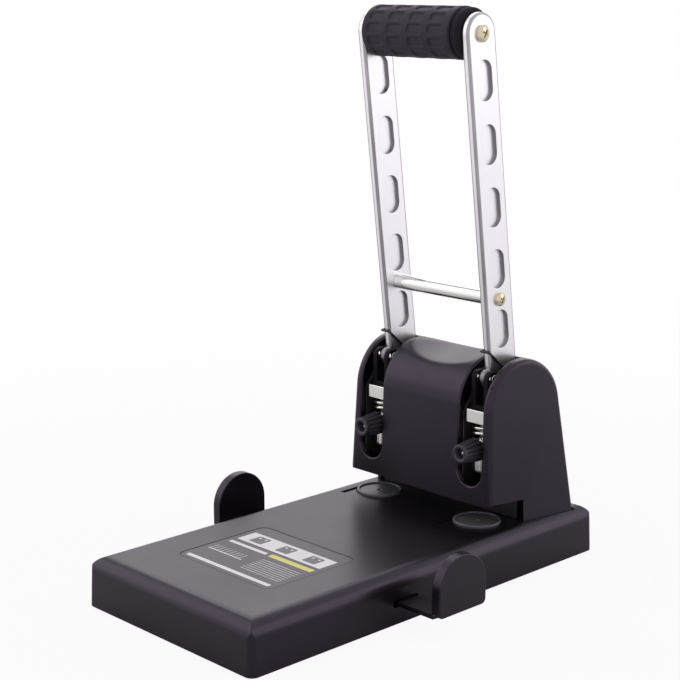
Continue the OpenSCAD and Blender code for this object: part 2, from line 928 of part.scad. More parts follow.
// Hollow of the tower, round its screw bosses and under the thicker roof
module tower_cavity() {
    difference() {
        tower_block(tower_wall, tower_z - 1);
        for (p = tower_screw_places)
            translate([p.x, p.y, top_z])
                cylinder(r = tower_boss_r, h = tower_boss_h);
        difference() {
            translate([-scoop_half, 0, arch_z])
                cube([2 * scoop_half, reach, reach]);
            translate([0, arch_y, arch_z])
                rod_x(arch_r - roof_t, reach);
        }
    }
}

// Slot for a punch unit and its bar: up the front and over the top
module tower_slot() {
    intersection() {
        translate([0, slot_end_y, 0])
            rotate([90, 0, 0])
                linear_extrude(reach) {
                    translate([0, slot_z])
                        circle(r = slot_r);
                    translate([-slot_r, slot_z])
                        square([slot_w, reach]);
                }
        linear_extrude(reach)
            stadium([0, 0], [0, slot_end_y - slot_r], slot_r);
    }
}

// Shallow hollow along the top between the slots
module scoop() {
    translate([0, arch_y, arch_z + arch_r - scoop_depth])
        rotate([scoop_slope, 0, 0])
            translate([0, 0, scoop_r])
                rotate([90, 0, 0])
                    cylinder(r = scoop_r, h = 4 * arch_r, center = true, $fn = 128);
}

// Screws from inside the base up into the tower
module tower_screws() {
    color(steel)
    for (p = tower_screw_places)
        translate([p.x, p.y, ceiling_z - screw_head_h]) {
            cylinder(r = screw_head_r, h = screw_head_h);
            cylinder(r = screw_r, h = screw_head_h + base_wall + tower_boss_h - tower_screw_short);
        }
}

// Steel frame round one punch unit: two cheeks for the axle, a guide plate, a back web and a foot
module frame(side) {
    color(steel)
    translate([side * punch_x, 0, 0])
        difference() {
            union() {
                for (s = [-1, 1])
                    translate([s * (cheek_in + cheek_t / 2), 0, 0])
                        along_x(cheek_t) {
                            translate([axle_y, axle_z])
                                circle(r = cheek_r);
                            cheek_outline();
                        }
                translate([-cheek_in - eps, frame_front_y, throat_z])
                    cube([2 * cheek_in + 2 * eps, frame_back_y - frame_front_y, guide_plate_t]);
                translate([-cheek_in - eps, frame_web_y, top_z])
                    cube([2 * cheek_in + 2 * eps, frame_web_t, axle_z - top_z - cheek_r]);
                translate([-cheek_in, frame_back_y - eps, top_z])
                    cube([2 * cheek_in, frame_foot_l, frame_foot_t]);
            }
            translate([0, axle_y, axle_z])
                rod_x(axle_bore_r, reach);
            translate([0, punch_y, 0])
                cylinder(r = punch_d / 2 + fit, h = reach);
            for (x = [-1, 1])
                translate([x * frame_screw_x, frame_screw_y, 0])
                    cylinder(r = screw_r + clear, h = reach);
        }
}

module cheek_outline() {
    polygon([
        [frame_front_y, throat_z],
        [frame_leg_y, throat_z],
        [frame_leg_y, top_z],
        [frame_back_y, top_z],
        [frame_back_y, axle_z],
        [axle_y - cheek_r, axle_z],
        [frame_front_y, frame_shoulder_z]
    ]);
}

// Machine screws that hold the frames and the paper stop to the base
module frame_screws() {
    color(steel)
    for (p = concat(frame_screw_places, stop_screw_places))
        translate(p) {
            cylinder(r = screw_head_r, h = screw_head_h);
            translate([0, 0, top_z - screw_depth + 1 - p.z])
                cylinder(r = screw_r, h = p.z - top_z + screw_depth - 1 + eps);
        }
}

// Paper stop: an upright strip with a foot behind it between the frames
module stop_plate() {
    color(steel)
    difference() {
        union() {
            translate([-stop_half, stop_y, top_z])
                cube([2 * stop_half, stop_t, throat_h - clear]);
            translate([-stop_flange_half, stop_y, top_z])
                cube([2 * stop_flange_half, frame_leg_y - stop_y - clear, stop_flange_t]);
        }
        for (p = stop_screw_places)
            translate([p.x, p.y, 0])
                cylinder(r = screw_r + clear, h = reach);
    }
}

module axle() {
    color(steel)
    translate([0, axle_y, axle_z])
        rod_x(axle_d / 2, 2 * axle_half);
}

module axle_clips() {
    color(dark_steel)
    for (s = [-1, 1])
        translate([s * (axle_half - 0.3 - clip_t / 2), axle_y, axle_z])
            difference() {
                rod_x(clip_r, clip_t);
                rod_x(axle_bore_r, 2 * clip_t);
            }
}

// Flat lever bar with a row of hollows in each face; its lower end carries the crank lug for the drive pin
module bar(side) {
    color(bright)
    translate([side * punch_x, 0, 0])
        in_lever()
            difference() {
                along_x(bar_t) {
                    stadium([0, 0], [0, lever_l], bar_w / 2);
                    translate(crank_pin)
                        circle(r = lug_r);
                    bar_lug();
                }
                along_x(2 * bar_t)
                    bar_holes();
                for (s = [-1, 1])
                    translate([s * (bar_t - bar_hollow_depth), 0, 0])
                        along_x(bar_t)
                            bar_hollows();
            }
}

// Web between the bar's round end and the lug
module bar_lug() {
    tangent = acos((bar_w / 2 - lug_r) / crank_r);
    polygon([
        for (s = [-1, 1])
            (bar_w / 2 - tuck) * [cos(crank_deg + s * tangent), sin(crank_deg + s * tangent)],
        for (s = [1, -1])
            crank_pin + (lug_r - tuck) * [cos(crank_deg + s * tangent), sin(crank_deg + s * tangent)]
    ]);
}

module bar_holes() {
    circle(r = axle_bore_r);
    translate(crank_pin)
        circle(r = pin_d / 2 + fit);
    translate([0, rod_at])
        circle(r = rod_screw_r + fit);
    translate([0, lever_l])
        circle(r = lever_screw_r + fit);
}

module bar_hollows() {
    half_run = (bar_hollow_l - bar_hollow_w) / 2;
    for (i = [0 : bar_hollow_count - 1])
        translate([0, bar_hollow_first + i * bar_hollow_pitch])
            stadium([0, -half_run], [0, half_run], bar_hollow_w / 2);
}

module spacer_rod() {
    color(bright)
    in_lever()
        translate([0, 0, rod_at])
            difference() {
                rod_x(rod_d / 2, 2 * punch_x - bar_t);
                for (s = [-1, 1])
                    translate([s * punch_x, 0, 0])
                        rod_x(rod_screw_r + fit, 2 * screw_depth + bar_t);
            }
}

module grip_core() {
    color(steel)
    in_lever()
        translate([0, 0, lever_l])
            difference() {
                rod_x(grip_core_d / 2, 2 * punch_x - bar_t);
                for (s = [-1, 1])
                    translate([s * punch_x, 0, 0])
                        rod_x(lever_screw_r + fit, 2 * screw_depth + bar_t);
            }
}

// Rubber sleeve with rounded ends
module grip() {
    color(rubber_black)
    in_lever()
        translate([0, 0, lever_l])
            rotate([0, 90, 0])
                rotate_extrude()
                    difference() {
                        union() {
                            translate([0, -grip_half])
                                square([grip_d / 2 - grip_edge_r, 2 * grip_half]);
                            translate([0, grip_edge_r - grip_half])
                                square([grip_d / 2, 2 * (grip_half - grip_edge_r)]);
                            for (s = [-1, 1])
                                translate([grip_d / 2 - grip_edge_r, s * (grip_half - grip_edge_r)])
                                    circle(r = grip_edge_r);
                        }
                        translate([-reach, -reach / 2])
                            square([reach + grip_core_d / 2 + fit, reach]);
                    }
}

// Screws through the bars into the grip's tube and the spacer rod
module lever_screws() {
    color(steel)
    in_lever()
        for (s = [-1, 1]) {
            translate([s * bar_outer, 0, lever_l])
                lever_screw(s, lever_screw_d / 2, lever_screw_r);
            translate([s * bar_outer, 0, rod_at])
                lever_screw(s, rod_head_r, rod_screw_r);
        }
}

module lever_screw(side, head_r, shank_r) {
    shank_l = bar_t + screw_depth - 2;
    rotate([0, side * 90, 0]) {
        cylinder(r = head_r, h = lever_head_h);
        translate([0, 0, -shank_l])
            cylinder(r = shank_r, h = shank_l + eps);
    }
}

module drive_pins() {
    color(steel)
    at_punches()
        translate([0, pin_y, pin_z])
            rod_x(pin_d / 2, 2 * pin_reach);
}

module return_spring(side) {
    color(dark_steel)
    translate([side * punch_x, 0, 0])
        in_lever()
            wire_tube(return_path, return_wire, [1, 0, 0]);
}

// Fork on top of a holder: the bar passes between its prongs, the drive pin through their long eyes
module yoke(side) {
    color(rubber_black)
    translate([side * punch_x, 0, 0])
        difference() {
            along_x(yoke_w)
                difference() {
                    union() {
                        stadium([pin_front_y, pin_z], [pin_y, pin_z], prong_r);
                        translate([pin_front_y - prong_r, yoke_z])
                            square([pin_y - pin_front_y + 2 * prong_r, yoke_h]);
                    }
                    stadium([pin_front_y, pin_z], [pin_y, pin_z], eye_r);
                }
            translate([-fork_gap, 0, yoke_z + fork_floor])
                cube([2 * fork_gap, reach, reach]);
        }
}

// Bright holder of a punch: block, neck and sleeve
module holder(side) {
    color(bright)
    translate([side * punch_x, punch_y, 0])
        difference() {
            union() {
                translate([-block_w / 2, -block_front, block_z])
                    cube([block_w, block_l, block_h]);
                translate([0, 0, neck_z - eps])
                    cylinder(r = neck_d / 2, h = neck_l + 2 * eps);
                rotate_extrude() {
                    translate([0, sleeve_z])
                        square([sleeve_d / 2 - sleeve_edge_r, sleeve_l]);
                    translate([0, sleeve_z + sleeve_edge_r])
                        square([sleeve_d / 2, sleeve_l - sleeve_edge_r]);
                    translate([sleeve_d / 2 - sleeve_edge_r, sleeve_z + sleeve_edge_r])
                        circle(r = sleeve_edge_r);
                }
            }
            cylinder(r = punch_d / 2 + fit, h = punch_top_z + clear);
            translate([0, 0, knob_z])
                rotate([90, 0, 0])
                    cylinder(r = knob_screw_d / 2 + fit, h = sleeve_d);
        }
}

module clamp_spring(side) {
    color(steel)
    translate([side * punch_x, punch_y, 0])
        wire_tube(clamp_path, clamp_wire, [0, 0, 1]);
}

// Hollow punch with a square cutting end
module punch(side) {
    color(steel)
    translate([side * punch_x, punch_y, tip_z])
        difference() {
            cylinder(r = punch_d / 2, h = punch_top_z - tip_z);
            translate([0, 0, -1])
                cylinder(r = punch_bore / 2, h = punch_top_z - tip_z + 2);
        }
}

// Put children on a knob's axis: +Z points to the user, z = 0 is the sleeve's front
module on_knob_axis(side) {
    translate([side * punch_x, punch_y - sleeve_d / 2, knob_z])
        rotate([90, 0, 0])
            children();
}

// Grooved clamping knob, wider at the back, with a hollow front
module knob(side) {
    hollow_r = knob_d * 0.27;
    hollow_l = knob_l * 0.3;
    groove_r = knob_d * 0.06;
    flare = atan((knob_back_d - knob_d) / 2 / knob_l);
    color(rubber_black)
    on_knob_axis(side)
        translate([0, 0, clear])
            difference() {
                cylinder(r1 = knob_back_d / 2, r2 = knob_d / 2, h = knob_l);
                translate([0, 0, knob_l - hollow_l])
                    cylinder(r = hollow_r, h = knob_l);
                translate([0, 0, -1])
                    cylinder(r = knob_screw_d / 2 + fit, h = knob_l);
                for (i = [0 : knob_grooves - 1])
                    rotate(360 * i / knob_grooves)
                        translate([knob_back_d / 2, 0, 0])
                            rotate([0, -flare, 0])
                                translate([0, 0, -1])
                                    cylinder(r = groove_r, h = knob_l + 3, $fn = 24);
            }
}

// Screw of a knob: its outer end shows in the knob's hollow and its inner end presses on the punch
module knob_screw(side) {
    outer = clear + knob_l * 0.8;
    inner = -(sleeve_d - punch_d) / 2 + 0.2;
    color(bright)
    on_knob_axis(side)
        translate([0, 0, inner])
            cylinder(r = knob_screw_d / 2, h = outer - inner);
}

base();
base_plate();
plate_screws();
feet();
label();
disc(-1);  // disc_left
disc(1);  // disc_right
guide(180);  // guide_left
guide(0);  // guide_right
guide_tray();
pinion();
pinion_screw();
tower();
tower_screws();
frame(-1);  // frame_left
frame(1);  // frame_right
frame_screws();
stop_plate();
axle();
axle_clips();
bar(-1);  // bar_left
bar(1);  // bar_right
spacer_rod();
grip_core();
grip();
lever_screws();
drive_pins();
return_spring(-1);  // return_spring_left
return_spring(1);  // return_spring_right
yoke(-1);  // yoke_left
yoke(1);  // yoke_right
holder(-1);  // holder_left
holder(1);  // holder_right
clamp_spring(-1);  // clamp_spring_left
clamp_spring(1);  // clamp_spring_right
punch(-1);  // punch_left
punch(1);  // punch_right
knob(-1);  // knob_left
knob(1);  // knob_right
knob_screw(-1);  // knob_screw_left
knob_screw(1);  // knob_screw_right
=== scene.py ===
"""Surfaces, finishes and a stage for the two-hole lever punch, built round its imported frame."""

import json
import math

import bmesh
import bpy
from bpy.props import FloatProperty, FloatVectorProperty, IntProperty, PointerProperty
from bpy.types import Operator, Panel, PropertyGroup
from mathutils import Matrix, Vector


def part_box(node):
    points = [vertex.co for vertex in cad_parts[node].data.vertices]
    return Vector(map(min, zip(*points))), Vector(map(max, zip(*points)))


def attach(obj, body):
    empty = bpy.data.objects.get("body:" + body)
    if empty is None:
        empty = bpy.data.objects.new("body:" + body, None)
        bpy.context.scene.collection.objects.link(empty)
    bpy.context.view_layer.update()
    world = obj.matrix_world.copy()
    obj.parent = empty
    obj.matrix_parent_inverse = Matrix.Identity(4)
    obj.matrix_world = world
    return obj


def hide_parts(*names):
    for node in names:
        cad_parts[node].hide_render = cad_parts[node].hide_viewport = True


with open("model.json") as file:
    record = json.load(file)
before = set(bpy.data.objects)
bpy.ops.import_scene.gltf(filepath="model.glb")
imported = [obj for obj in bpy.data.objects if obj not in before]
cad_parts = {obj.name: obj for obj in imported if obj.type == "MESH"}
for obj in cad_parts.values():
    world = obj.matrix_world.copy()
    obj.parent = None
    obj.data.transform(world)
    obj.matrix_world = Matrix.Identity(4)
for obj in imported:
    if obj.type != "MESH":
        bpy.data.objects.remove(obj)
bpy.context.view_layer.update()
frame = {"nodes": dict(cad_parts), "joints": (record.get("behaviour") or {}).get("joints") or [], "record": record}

bl_info = {
    "name": "Two-hole lever punch",
    "version": (1, 0, 0),
    "blender": (4, 5, 0),
    "location": "View3D > Sidebar > Punch",
    "description": "Builds the punch's visible pieces and its stage round the CAD frame",
    "category": "Object",
}

MM = 0.001
BODY_OF = {
    node: body
    for body, nodes in frame["record"]["behaviour"]["bodies"].items()
    for node in nodes
}
JOINT = {joint["name"]: joint for joint in frame["joints"]}
SIDES = {"left": -1, "right": 1}

# The lever's own frame: its axle, its lean, and the way up along the bars
AXLE = Vector(JOINT["lever_pull"]["pos_m"])
GRIP_LOW, GRIP_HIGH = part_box("grip")
GRIP_MIDDLE = (GRIP_LOW + GRIP_HIGH) / 2
LEVER_LENGTH = math.hypot(GRIP_MIDDLE.y - AXLE.y, GRIP_MIDDLE.z - AXLE.z)
LEVER_LEAN = math.atan2(AXLE.y - GRIP_MIDDLE.y, GRIP_MIDDLE.z - AXLE.z)
IN_LEVER = Matrix.Translation(AXLE) @ Matrix.Rotation(LEVER_LEAN, 4, "X")
TO_LEVER = IN_LEVER.inverted()
AT_GRIP = IN_LEVER @ Matrix.Translation((0, 0, LEVER_LENGTH))
BAR_HALF = 11.5 * MM


def middle_of(node):
    """Middle of a CAD node's box."""
    low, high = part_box(node)
    return (low + high) / 2


ROD_ALONG = 52.875 * MM
DRIVE_PIN = TO_LEVER @ middle_of("drive_pins")
PIN_CLEAR = 3.2 * MM

# The base, the discs and the punches
_, BASE_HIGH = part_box("base")
PLATE_SCREW_Y = 40 * MM
KNOB = Vector(JOINT["knob_right_turn"]["pos_m"])
KNOB_WELL = 2.97 * MM
PUNCH_LOW, PUNCH_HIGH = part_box("punch_right")
PUNCH_X = (PUNCH_LOW.x + PUNCH_HIGH.x) / 2
PUNCH_Y = (PUNCH_LOW.y + PUNCH_HIGH.y) / 2

# The tower's arch, from the axle
ARCH_Y = AXLE.y + 1.7 * MM
ARCH_Z = AXLE.z - 11 * MM
ARCH_R = 28.6 * MM
ARCH_MIDDLE = Vector((0, ARCH_Y, ARCH_Z))
FRONT_LEAN = math.radians(1.66)
BACK_LEAN = math.radians(8.7)
SLOT_HALF = 9 * MM
THROAT_LIP = 44.5 * MM

# The scoop in its top: a cylinder that leans back
SCOOP_R = 105 * MM
SCOOP_TILT = Matrix.Rotation(math.radians(10.5), 3, "X")
SCOOP_ALONG = SCOOP_TILT @ Vector((0, 1, 0))
SCOOP_AXIS = Vector((0, ARCH_Y, ARCH_Z + ARCH_R - 3.5 * MM)) + SCOOP_TILT @ Vector((0, 0, SCOOP_R))
SCOOP_HALF = 29.4 * MM
SCOOP_BACK = math.radians(-36)
SCOOP_FRONT = math.radians(58)
SCOOP_STEP = 1 * MM
SCOOP_EASE = 4 * MM

JOIN_DISTANCE = 0.002 * MM
FLAT_ANGLE = math.radians(0.6)
SHARP_ANGLE = math.radians(28)
SHADE_ANGLE = math.radians(48)

# Roundings of the edges that no property sets
SHEET_EDGE = 0.3 * MM
ROD_EDGE = 0.5 * MM
PIN_EDGE = 0.4 * MM
CLIP_EDGE = 0.15 * MM
FILM_EDGE = 0.12 * MM
DISC_EDGE = 0.6 * MM
TOOTH_EDGE = 0.08 * MM
YOKE_EDGE = 0.35 * MM
HOLDER_EDGE = 0.4 * MM
PUNCH_EDGE = 0.12 * MM
KNOB_SCREW_EDGE = 0.9 * MM


class Sock:
    """An output socket with Python's arithmetic, which adds Math nodes to its net."""

    def __init__(self, net, port):
        self.net = net
        self.port = port

    def __add__(self, other):
        return self.net.maths("ADD", self, other)

    def __radd__(self, other):
        return self.net.maths("ADD", other, self)

    def __sub__(self, other):
        return self.net.maths("SUBTRACT", self, other)

    def __rsub__(self, other):
        return self.net.maths("SUBTRACT", other, self)

    def __mul__(self, other):
        return self.net.maths("MULTIPLY", self, other)

    def __rmul__(self, other):
        return self.net.maths("MULTIPLY", other, self)

    def __truediv__(self, other):
        return self.net.maths("DIVIDE", self, other)

    def __abs__(self):
        return self.net.maths("ABSOLUTE", self)

    def above(self, other):
        return self.net.maths("MAXIMUM", self, other)

    def below(self, other):
        return self.net.maths("MINIMUM", self, other)


class Net:
    """A node tree that is filled from Python."""

    def __init__(self, tree):
        self.tree = tree

    def node(self, kind, settings=None, values=None, out=0):
        """Add any node: settings first, then its sockets' values or links. Gives an output, if any."""
        made = self.tree.nodes.new(kind)
        for key, value in (settings or {}).items():
            setattr(made, key, value)
        for key, value in (values or {}).items():
            self.feed(made.inputs[key], value)
        return Sock(self, made.outputs[out]) if made.outputs else None

    def feed(self, port, value):
        if isinstance(value, Sock):
            self.tree.links.new(value.port, port)
        else:
            port.default_value = value

    def maths(self, operation, *values):
        return self.node("ShaderNodeMath", {"operation": operation}, dict(enumerate(values)))

    def mix(self, factor, first, second):
        """Blend two colours."""
        settings = {"data_type": "RGBA"}
        return self.node("ShaderNodeMix", settings, {0: factor, 6: first, 7: second}, 2)

    def step(self, value, start, end):
        """0 before start, 1 after end, smooth between."""
        settings = {"interpolation_type": "SMOOTHSTEP"}
        values = {"Value": value, "From Min": start, "From Max": end}
        return self.node("ShaderNodeMapRange", settings, values)

    def places(self, turn=(0, 0, 0), stretch=(1, 1, 1), origin=(0, 0, 0)):
        """Object coordinates, moved so that origin is zero, turned and stretched for a pattern."""
        point = self.node("ShaderNodeTexCoord", out="Object")
        moved = self.node("ShaderNodeVectorMath", {"operation": "SUBTRACT"}, {0: point, 1: origin})
        return self.node("ShaderNodeMapping", values={"Vector": moved, "Rotation": turn, "Scale": stretch})

    def noise(self, where, scale, detail=2.0, rough=0.5):
        values = {"Vector": where, "Scale": scale, "Detail": detail, "Roughness": rough}
        return self.node("ShaderNodeTexNoise", values=values)

    def split(self, vector):
        """The three parts of a vector."""
        node = self.node("ShaderNodeSeparateXYZ", values={0: vector}).port.node
        return [Sock(self, port) for port in node.outputs]

    def rounded_box(self, x, y, middle, half, corner):
        """Signed distance from a rounded rectangle in a plane: below zero inside."""
        across = abs(x - middle[0]) - (half[0] - corner)
        along = abs(y - middle[1]) - (half[1] - corner)
        out_x = across.above(0.0)
        out_y = along.above(0.0)
        outside = self.maths("SQRT", out_x * out_x + out_y * out_y)
        return outside + across.above(along).below(0.0) - corner


# The cool violet cast of the dark plastics' gloss
SHEEN = (0.90, 0.68, 1.0, 1.0)


def rgb(colour):
    return (*colour[:3], 1.0)


def tint(colour, factor):
    """A colour made lighter or darker."""
    return tuple(min(1.0, part * factor) for part in colour[:3]) + (1.0,)


class Finish:
    """A new material with its net and its surface shader."""

    def __init__(self, name):
        self.material = bpy.data.materials.new(name)
        self.material.use_nodes = True
        self.net = Net(self.material.node_tree)
        self.net.tree.nodes.clear()
        self.surface = self.net.node("ShaderNodeBsdfPrincipled")

    def set(self, **values):
        for key, value in values.items():
            self.net.feed(self.surface.port.node.inputs[key.replace("_", " ")], value)

    def bump(self, height, strength, depth):
        values = {"Height": height, "Strength": strength, "Distance": depth}
        self.set(Normal=self.net.node("ShaderNodeBump", values=values))

    def mark(self, name):
        """A mark on the mesh, from 0 to 1. Softened edges carry the edge mark: wear on most finishes, painted
        shade on the lever bars.
        """
        return self.net.node("ShaderNodeAttribute", {"attribute_name": name}, out=2)

    def done(self, surface=None):
        """Join the surface to the output. Gives the material."""
        self.net.node("ShaderNodeOutputMaterial", values={"Surface": surface or self.surface})
        return self.material


def moulding(name, colour, roughness=0.31, grain=0.7 * MM, relief=0.03 * MM, gloss=0.5):
    """Matt moulded plastic: eroded grain, faint flow clouds and edges rubbed a little smoother."""
    made = Finish(name)
    net = made.net
    where = net.places()
    fine = net.noise(where, 1 / grain, 2.0, 0.6)
    cloud = net.noise(where, 28.0, 3.0, 0.55)
    worn = made.mark("edge_wear_and_shade")
    shade = (cloud * 0.55 + fine * 0.25 + worn * 0.35).below(1.0)
    made.set(Base_Color=net.mix(shade, tint(colour, 0.72), tint(colour, 1.38)))
    made.set(Roughness=roughness + (cloud - 0.5) * 0.14 + (fine - 0.5) * 0.10 - worn * 0.05)
    made.set(Specular_Tint=SHEEN, Specular_IOR_Level=gloss)
    made.bump(fine, 0.22, relief)
    return made.done()


def rubber(name, colour, roughness=0.62):
    """Soft rubber: fine skin, with dust that stays in its dimples."""
    made = Finish(name)
    net = made.net
    where = net.places()
    skin = net.noise(where, 2400.0, 3.0, 0.65)
    cloud = net.noise(where, 60.0, 2.0)
    dimple = made.mark("dimple")
    collar = made.mark("collar")
    shade = (cloud * 0.5 + skin * 0.25 + dimple * 0.25).below(1.0) - collar
    made.set(Base_Color=net.mix(shade.above(0.0), tint(colour, 0.2), tint(colour, 1.6)))
    made.set(Roughness=roughness + (skin - 0.5) * 0.12 + (cloud - 0.5) * 0.1 + collar * 0.25)
    made.set(Specular_Tint=SHEEN)
    made.bump(skin, 0.25, 0.03 * MM)
    return made.done()


def brushed(name, colour, roughness, stretch):
    """Satin metal with drawn lines along one way and a thin haze."""
    made = Finish(name)
    net = made.net
    lines = net.noise(net.places(stretch=stretch), 1.0, 3.0, 0.6)
    haze = net.noise(net.places(), 22.0, 3.0)
    worn = made.mark("edge_wear_and_shade")
    shade = (lines * 0.5 + haze * 0.3 + worn * 0.2).below(1.0)
    made.set(Metallic=1.0)
    made.set(Base_Color=net.mix(shade, tint(colour, 0.93), tint(colour, 1.05)))
    made.set(Roughness=roughness + (lines - 0.5) * 0.16 + (haze - 0.5) * 0.08 - worn * 0.06)
    made.bump(lines, 0.06, 0.02 * MM)
    return made.done()


def lacquered(name, colour, bare_and_shade, turn, roughness=0.36):
    """Silver-lacquered metal with faint drawn lines; painted shade darkens its rounded edges, the dull walls of
    its hollows and its lug.
    """
    made = Finish(name)
    net = made.net
    lines = net.noise(net.places(turn, (900, 900, 9)), 1.0, 3.0, 0.6)
    haze = net.noise(net.places(), 22.0, 3.0)
    painted_shade = made.mark("painted_shade")
    # Painted shade: the edge mark and the hollow-wall mark blend the face towards the dark shade colour.
    edge_and_hollow_shade = (made.mark("edge_wear_and_shade") * (0.45 + haze * 0.6) + painted_shade * 0.9).below(1.0)
    face = net.mix(lines * 0.6 + haze * 0.4, tint(colour, 0.95), tint(colour, 1.04))
    made.set(Metallic=1.0)
    made.set(Base_Color=net.mix(edge_and_hollow_shade, face, rgb(bare_and_shade)))
    made.set(Roughness=roughness + (lines - 0.5) * 0.16 + (haze - 0.5) * 0.08 + painted_shade * 0.1)
    made.bump(lines, 0.06, 0.02 * MM)
    return made.done()


def plated(name, colour, roughness=0.16, grain=1500.0):
    """Bright plating with small pits and finger haze."""
    made = Finish(name)
    net = made.net
    where = net.places()
    pits = net.noise(where, grain, 2.0)
    haze = net.noise(where, 90.0, 3.0, 0.6)
    made.set(Metallic=1.0)
    made.set(Base_Color=net.mix(haze, tint(colour, 0.9), tint(colour, 1.05)))
    made.set(Roughness=roughness + (haze - 0.45).above(0.0) * 0.35 + (pits - 0.5) * 0.06)
    made.bump(pits, 0.08, 0.02 * MM)
    return made.done()


def blackened(name, colour, roughness=0.38):
    """Oil-blackened spring wire, rubbed to the metal in places."""
    made = Finish(name)
    net = made.net
    where = net.places()
    spots = net.noise(where, 420.0, 3.0, 0.6)
    bare_and_shade = net.step(spots, 0.62, 0.78)
    made.set(Metallic=0.35 + bare_and_shade * 0.4)
    made.set(Base_Color=net.mix(bare_and_shade, rgb(colour), tint(colour, 5.0)))
    made.set(Roughness=roughness + (spots - 0.5) * 0.2)
    made.bump(spots, 0.1, 0.02 * MM)
    return made.done()


def painted_sheet(name, colour, roughness=0.42):
    """Painted sheet steel with a light orange-peel skin."""
    made = Finish(name)
    net = made.net
    where = net.places()
    peel = net.noise(where, 480.0, 2.0)
    cloud = net.noise(where, 18.0, 3.0)
    made.set(Base_Color=net.mix(cloud, tint(colour, 0.75), tint(colour, 1.3)))
    made.set(Roughness=roughness + (peel - 0.5) * 0.12 + (cloud - 0.5) * 0.1)
    made.bump(peel, 0.2, 0.05 * MM)
    return made.done()


def worn_sheet(name, colour, bare_and_shade, roughness=0.44):
    """Dark sheet steel with a fine grain, rubbed to the metal along its edges; for the frames its dark colour is
    painted shade.
    """
    made = Finish(name)
    net = made.net
    where = net.places()
    crystal = net.noise(where, 1300.0, 3.0, 0.65)
    cloud = net.noise(where, 40.0, 3.0)
    shine = made.mark("edge_wear_and_shade") * net.step(cloud + crystal * 0.3, 0.6, 0.9) * 0.3
    made.set(Base_Color=net.mix(shine, net.mix(cloud, tint(colour, 0.7), tint(colour, 1.4)), rgb(bare_and_shade)))
    made.set(Metallic=0.25 + shine * 0.7)
    made.set(Roughness=roughness + (crystal - 0.5) * 0.2 - shine * 0.1)
    made.bump(crystal, 0.12, 0.02 * MM)
    return made.done()


# Layout of the label in millimetres from its middle: ink, left, right, low, high, corner
LABEL_BLOCKS = (
    ("panel", -34.0, 34.0, 8.0, 22.0, 0.8),
    ("panel", -34.0, -3.0, 1.6, 4.4, 0.4),
    ("strip", 0.0, 34.0, 1.0, 5.0, 0.4),
    ("panel", -34.0, 34.0, -29.0, -26.0, 0.4),
    ("panel", -34.0, -6.0, -13.2, -12.4, 0.2),
) + tuple(
    mark
    for x in (-22.0, 0.0, 22.0)
    for mark in (
        ("ink", x - 5.0, x + 5.0, 10.4, 19.6, 1.2),
        ("panel", x - 3.2, x - 1.6, 16.4, 18.0, 0.8),
        ("panel", x + 1.6, x + 3.2, 16.4, 18.0, 0.8),
    )
)
LABEL_LINES = (2.0, 33.0, -22.0, -3.0, 0.2)
LABEL_SCALE = (-33.0, -7.0, -12.6, -6.0, 0.2)


def printed_label(name, paint, middle):
    """Printed film: a dark ground with plain panels, strips, a ruled scale and rows of lines."""
    made = Finish(name)
    net = made.net
    x, y, _ = net.split(net.places(origin=middle))
    blur = 0.12 * MM
    fade = 0.04
    paper = net.noise(net.places(), 900.0, 2.0)

    def block(left, right, low, high, corner=0.6):
        centre = ((left + right) / 2 * MM, (low + high) / 2 * MM)
        size = ((right - left) / 2 * MM, (high - low) / 2 * MM)
        return 1 - net.step(net.rounded_box(x, y, centre, size, corner * MM), -blur, blur)

    def rows(value, pitch, share):
        turn = net.maths("FRACT", value / (pitch * MM) + 100.0)
        return 1 - net.step(turn, share - fade, share + fade)

    colour = net.mix(paper, tint(paint.label, 0.85), tint(paint.label, 1.15))
    for ink, *place in LABEL_BLOCKS:
        colour = net.mix(block(*place), colour, rgb(getattr(paint, ink)))
    lines = block(*LABEL_LINES) * rows(y, 2.3, 0.36) * (0.35 + net.step(paper, 0.4, 0.6) * 0.25)
    colour = net.mix(lines, colour, rgb(paint.panel))
    ticks = block(*LABEL_SCALE) * rows(x, 3.0, 0.16)
    colour = net.mix(ticks * 0.8, colour, rgb(paint.panel))
    made.set(Base_Color=colour)
    made.set(Roughness=0.34 + (paper - 0.5) * 0.12)
    made.set(Specular_Tint=SHEEN)
    made.bump(paper, 0.06, 0.02 * MM)
    return made.done()


def joined(node):
    """A bmesh of one CAD node, its loose triangles joined into whole faces."""
    work = bmesh.new()
    work.from_mesh(frame["nodes"][node].data)
    bmesh.ops.remove_doubles(work, verts=work.verts, dist=JOIN_DISTANCE)
    bmesh.ops.dissolve_degenerate(work, edges=work.edges, dist=JOIN_DISTANCE)
    bmesh.ops.dissolve_limit(work, angle_limit=FLAT_ANGLE, verts=work.verts, edges=work.edges)
    work.faces.layers.float.new("edge_wear_and_shade")
    return work


def sharp_edges(work, chosen=None):
    """Outward sharp edges, all of them or those that a test on the edge's middle chooses."""
    found = []
    for edge in work.edges:
        if not edge.is_manifold or not edge.is_convex or edge.calc_face_angle(0.0) < SHARP_ANGLE:
            continue
        middle = (edge.verts[0].co + edge.verts[1].co) / 2
        if chosen is None or chosen(middle):
            found.append(edge)
    return found


def soften(work, edges, width, steps=2, mark_edges=True):
    """Round edges off, and give the new faces the edge mark unless they lie sheltered; that mark is wear on most
    finishes and painted shade on the lever bars.
    """
    made = bmesh.ops.bevel(
        work, geom=edges, offset=width, offset_type="OFFSET", segments=steps, profile=0.5,
        affect="EDGES", clamp_overlap=False, loop_slide=False, material=-1,
    )
    layer = work.faces.layers.float["edge_wear_and_shade"]
    for face in made["faces"] if mark_edges else ():
        face[layer] = 1.0


def mesh_of(work, name):
    """Close a bmesh into a smooth-shaded mesh."""
    mesh = bpy.data.meshes.new(name)
    work.to_mesh(mesh)
    work.free()
    for polygon in mesh.polygons:
        polygon.use_smooth = True
    mesh.set_sharp_from_angle(angle=SHADE_ANGLE)
    return mesh


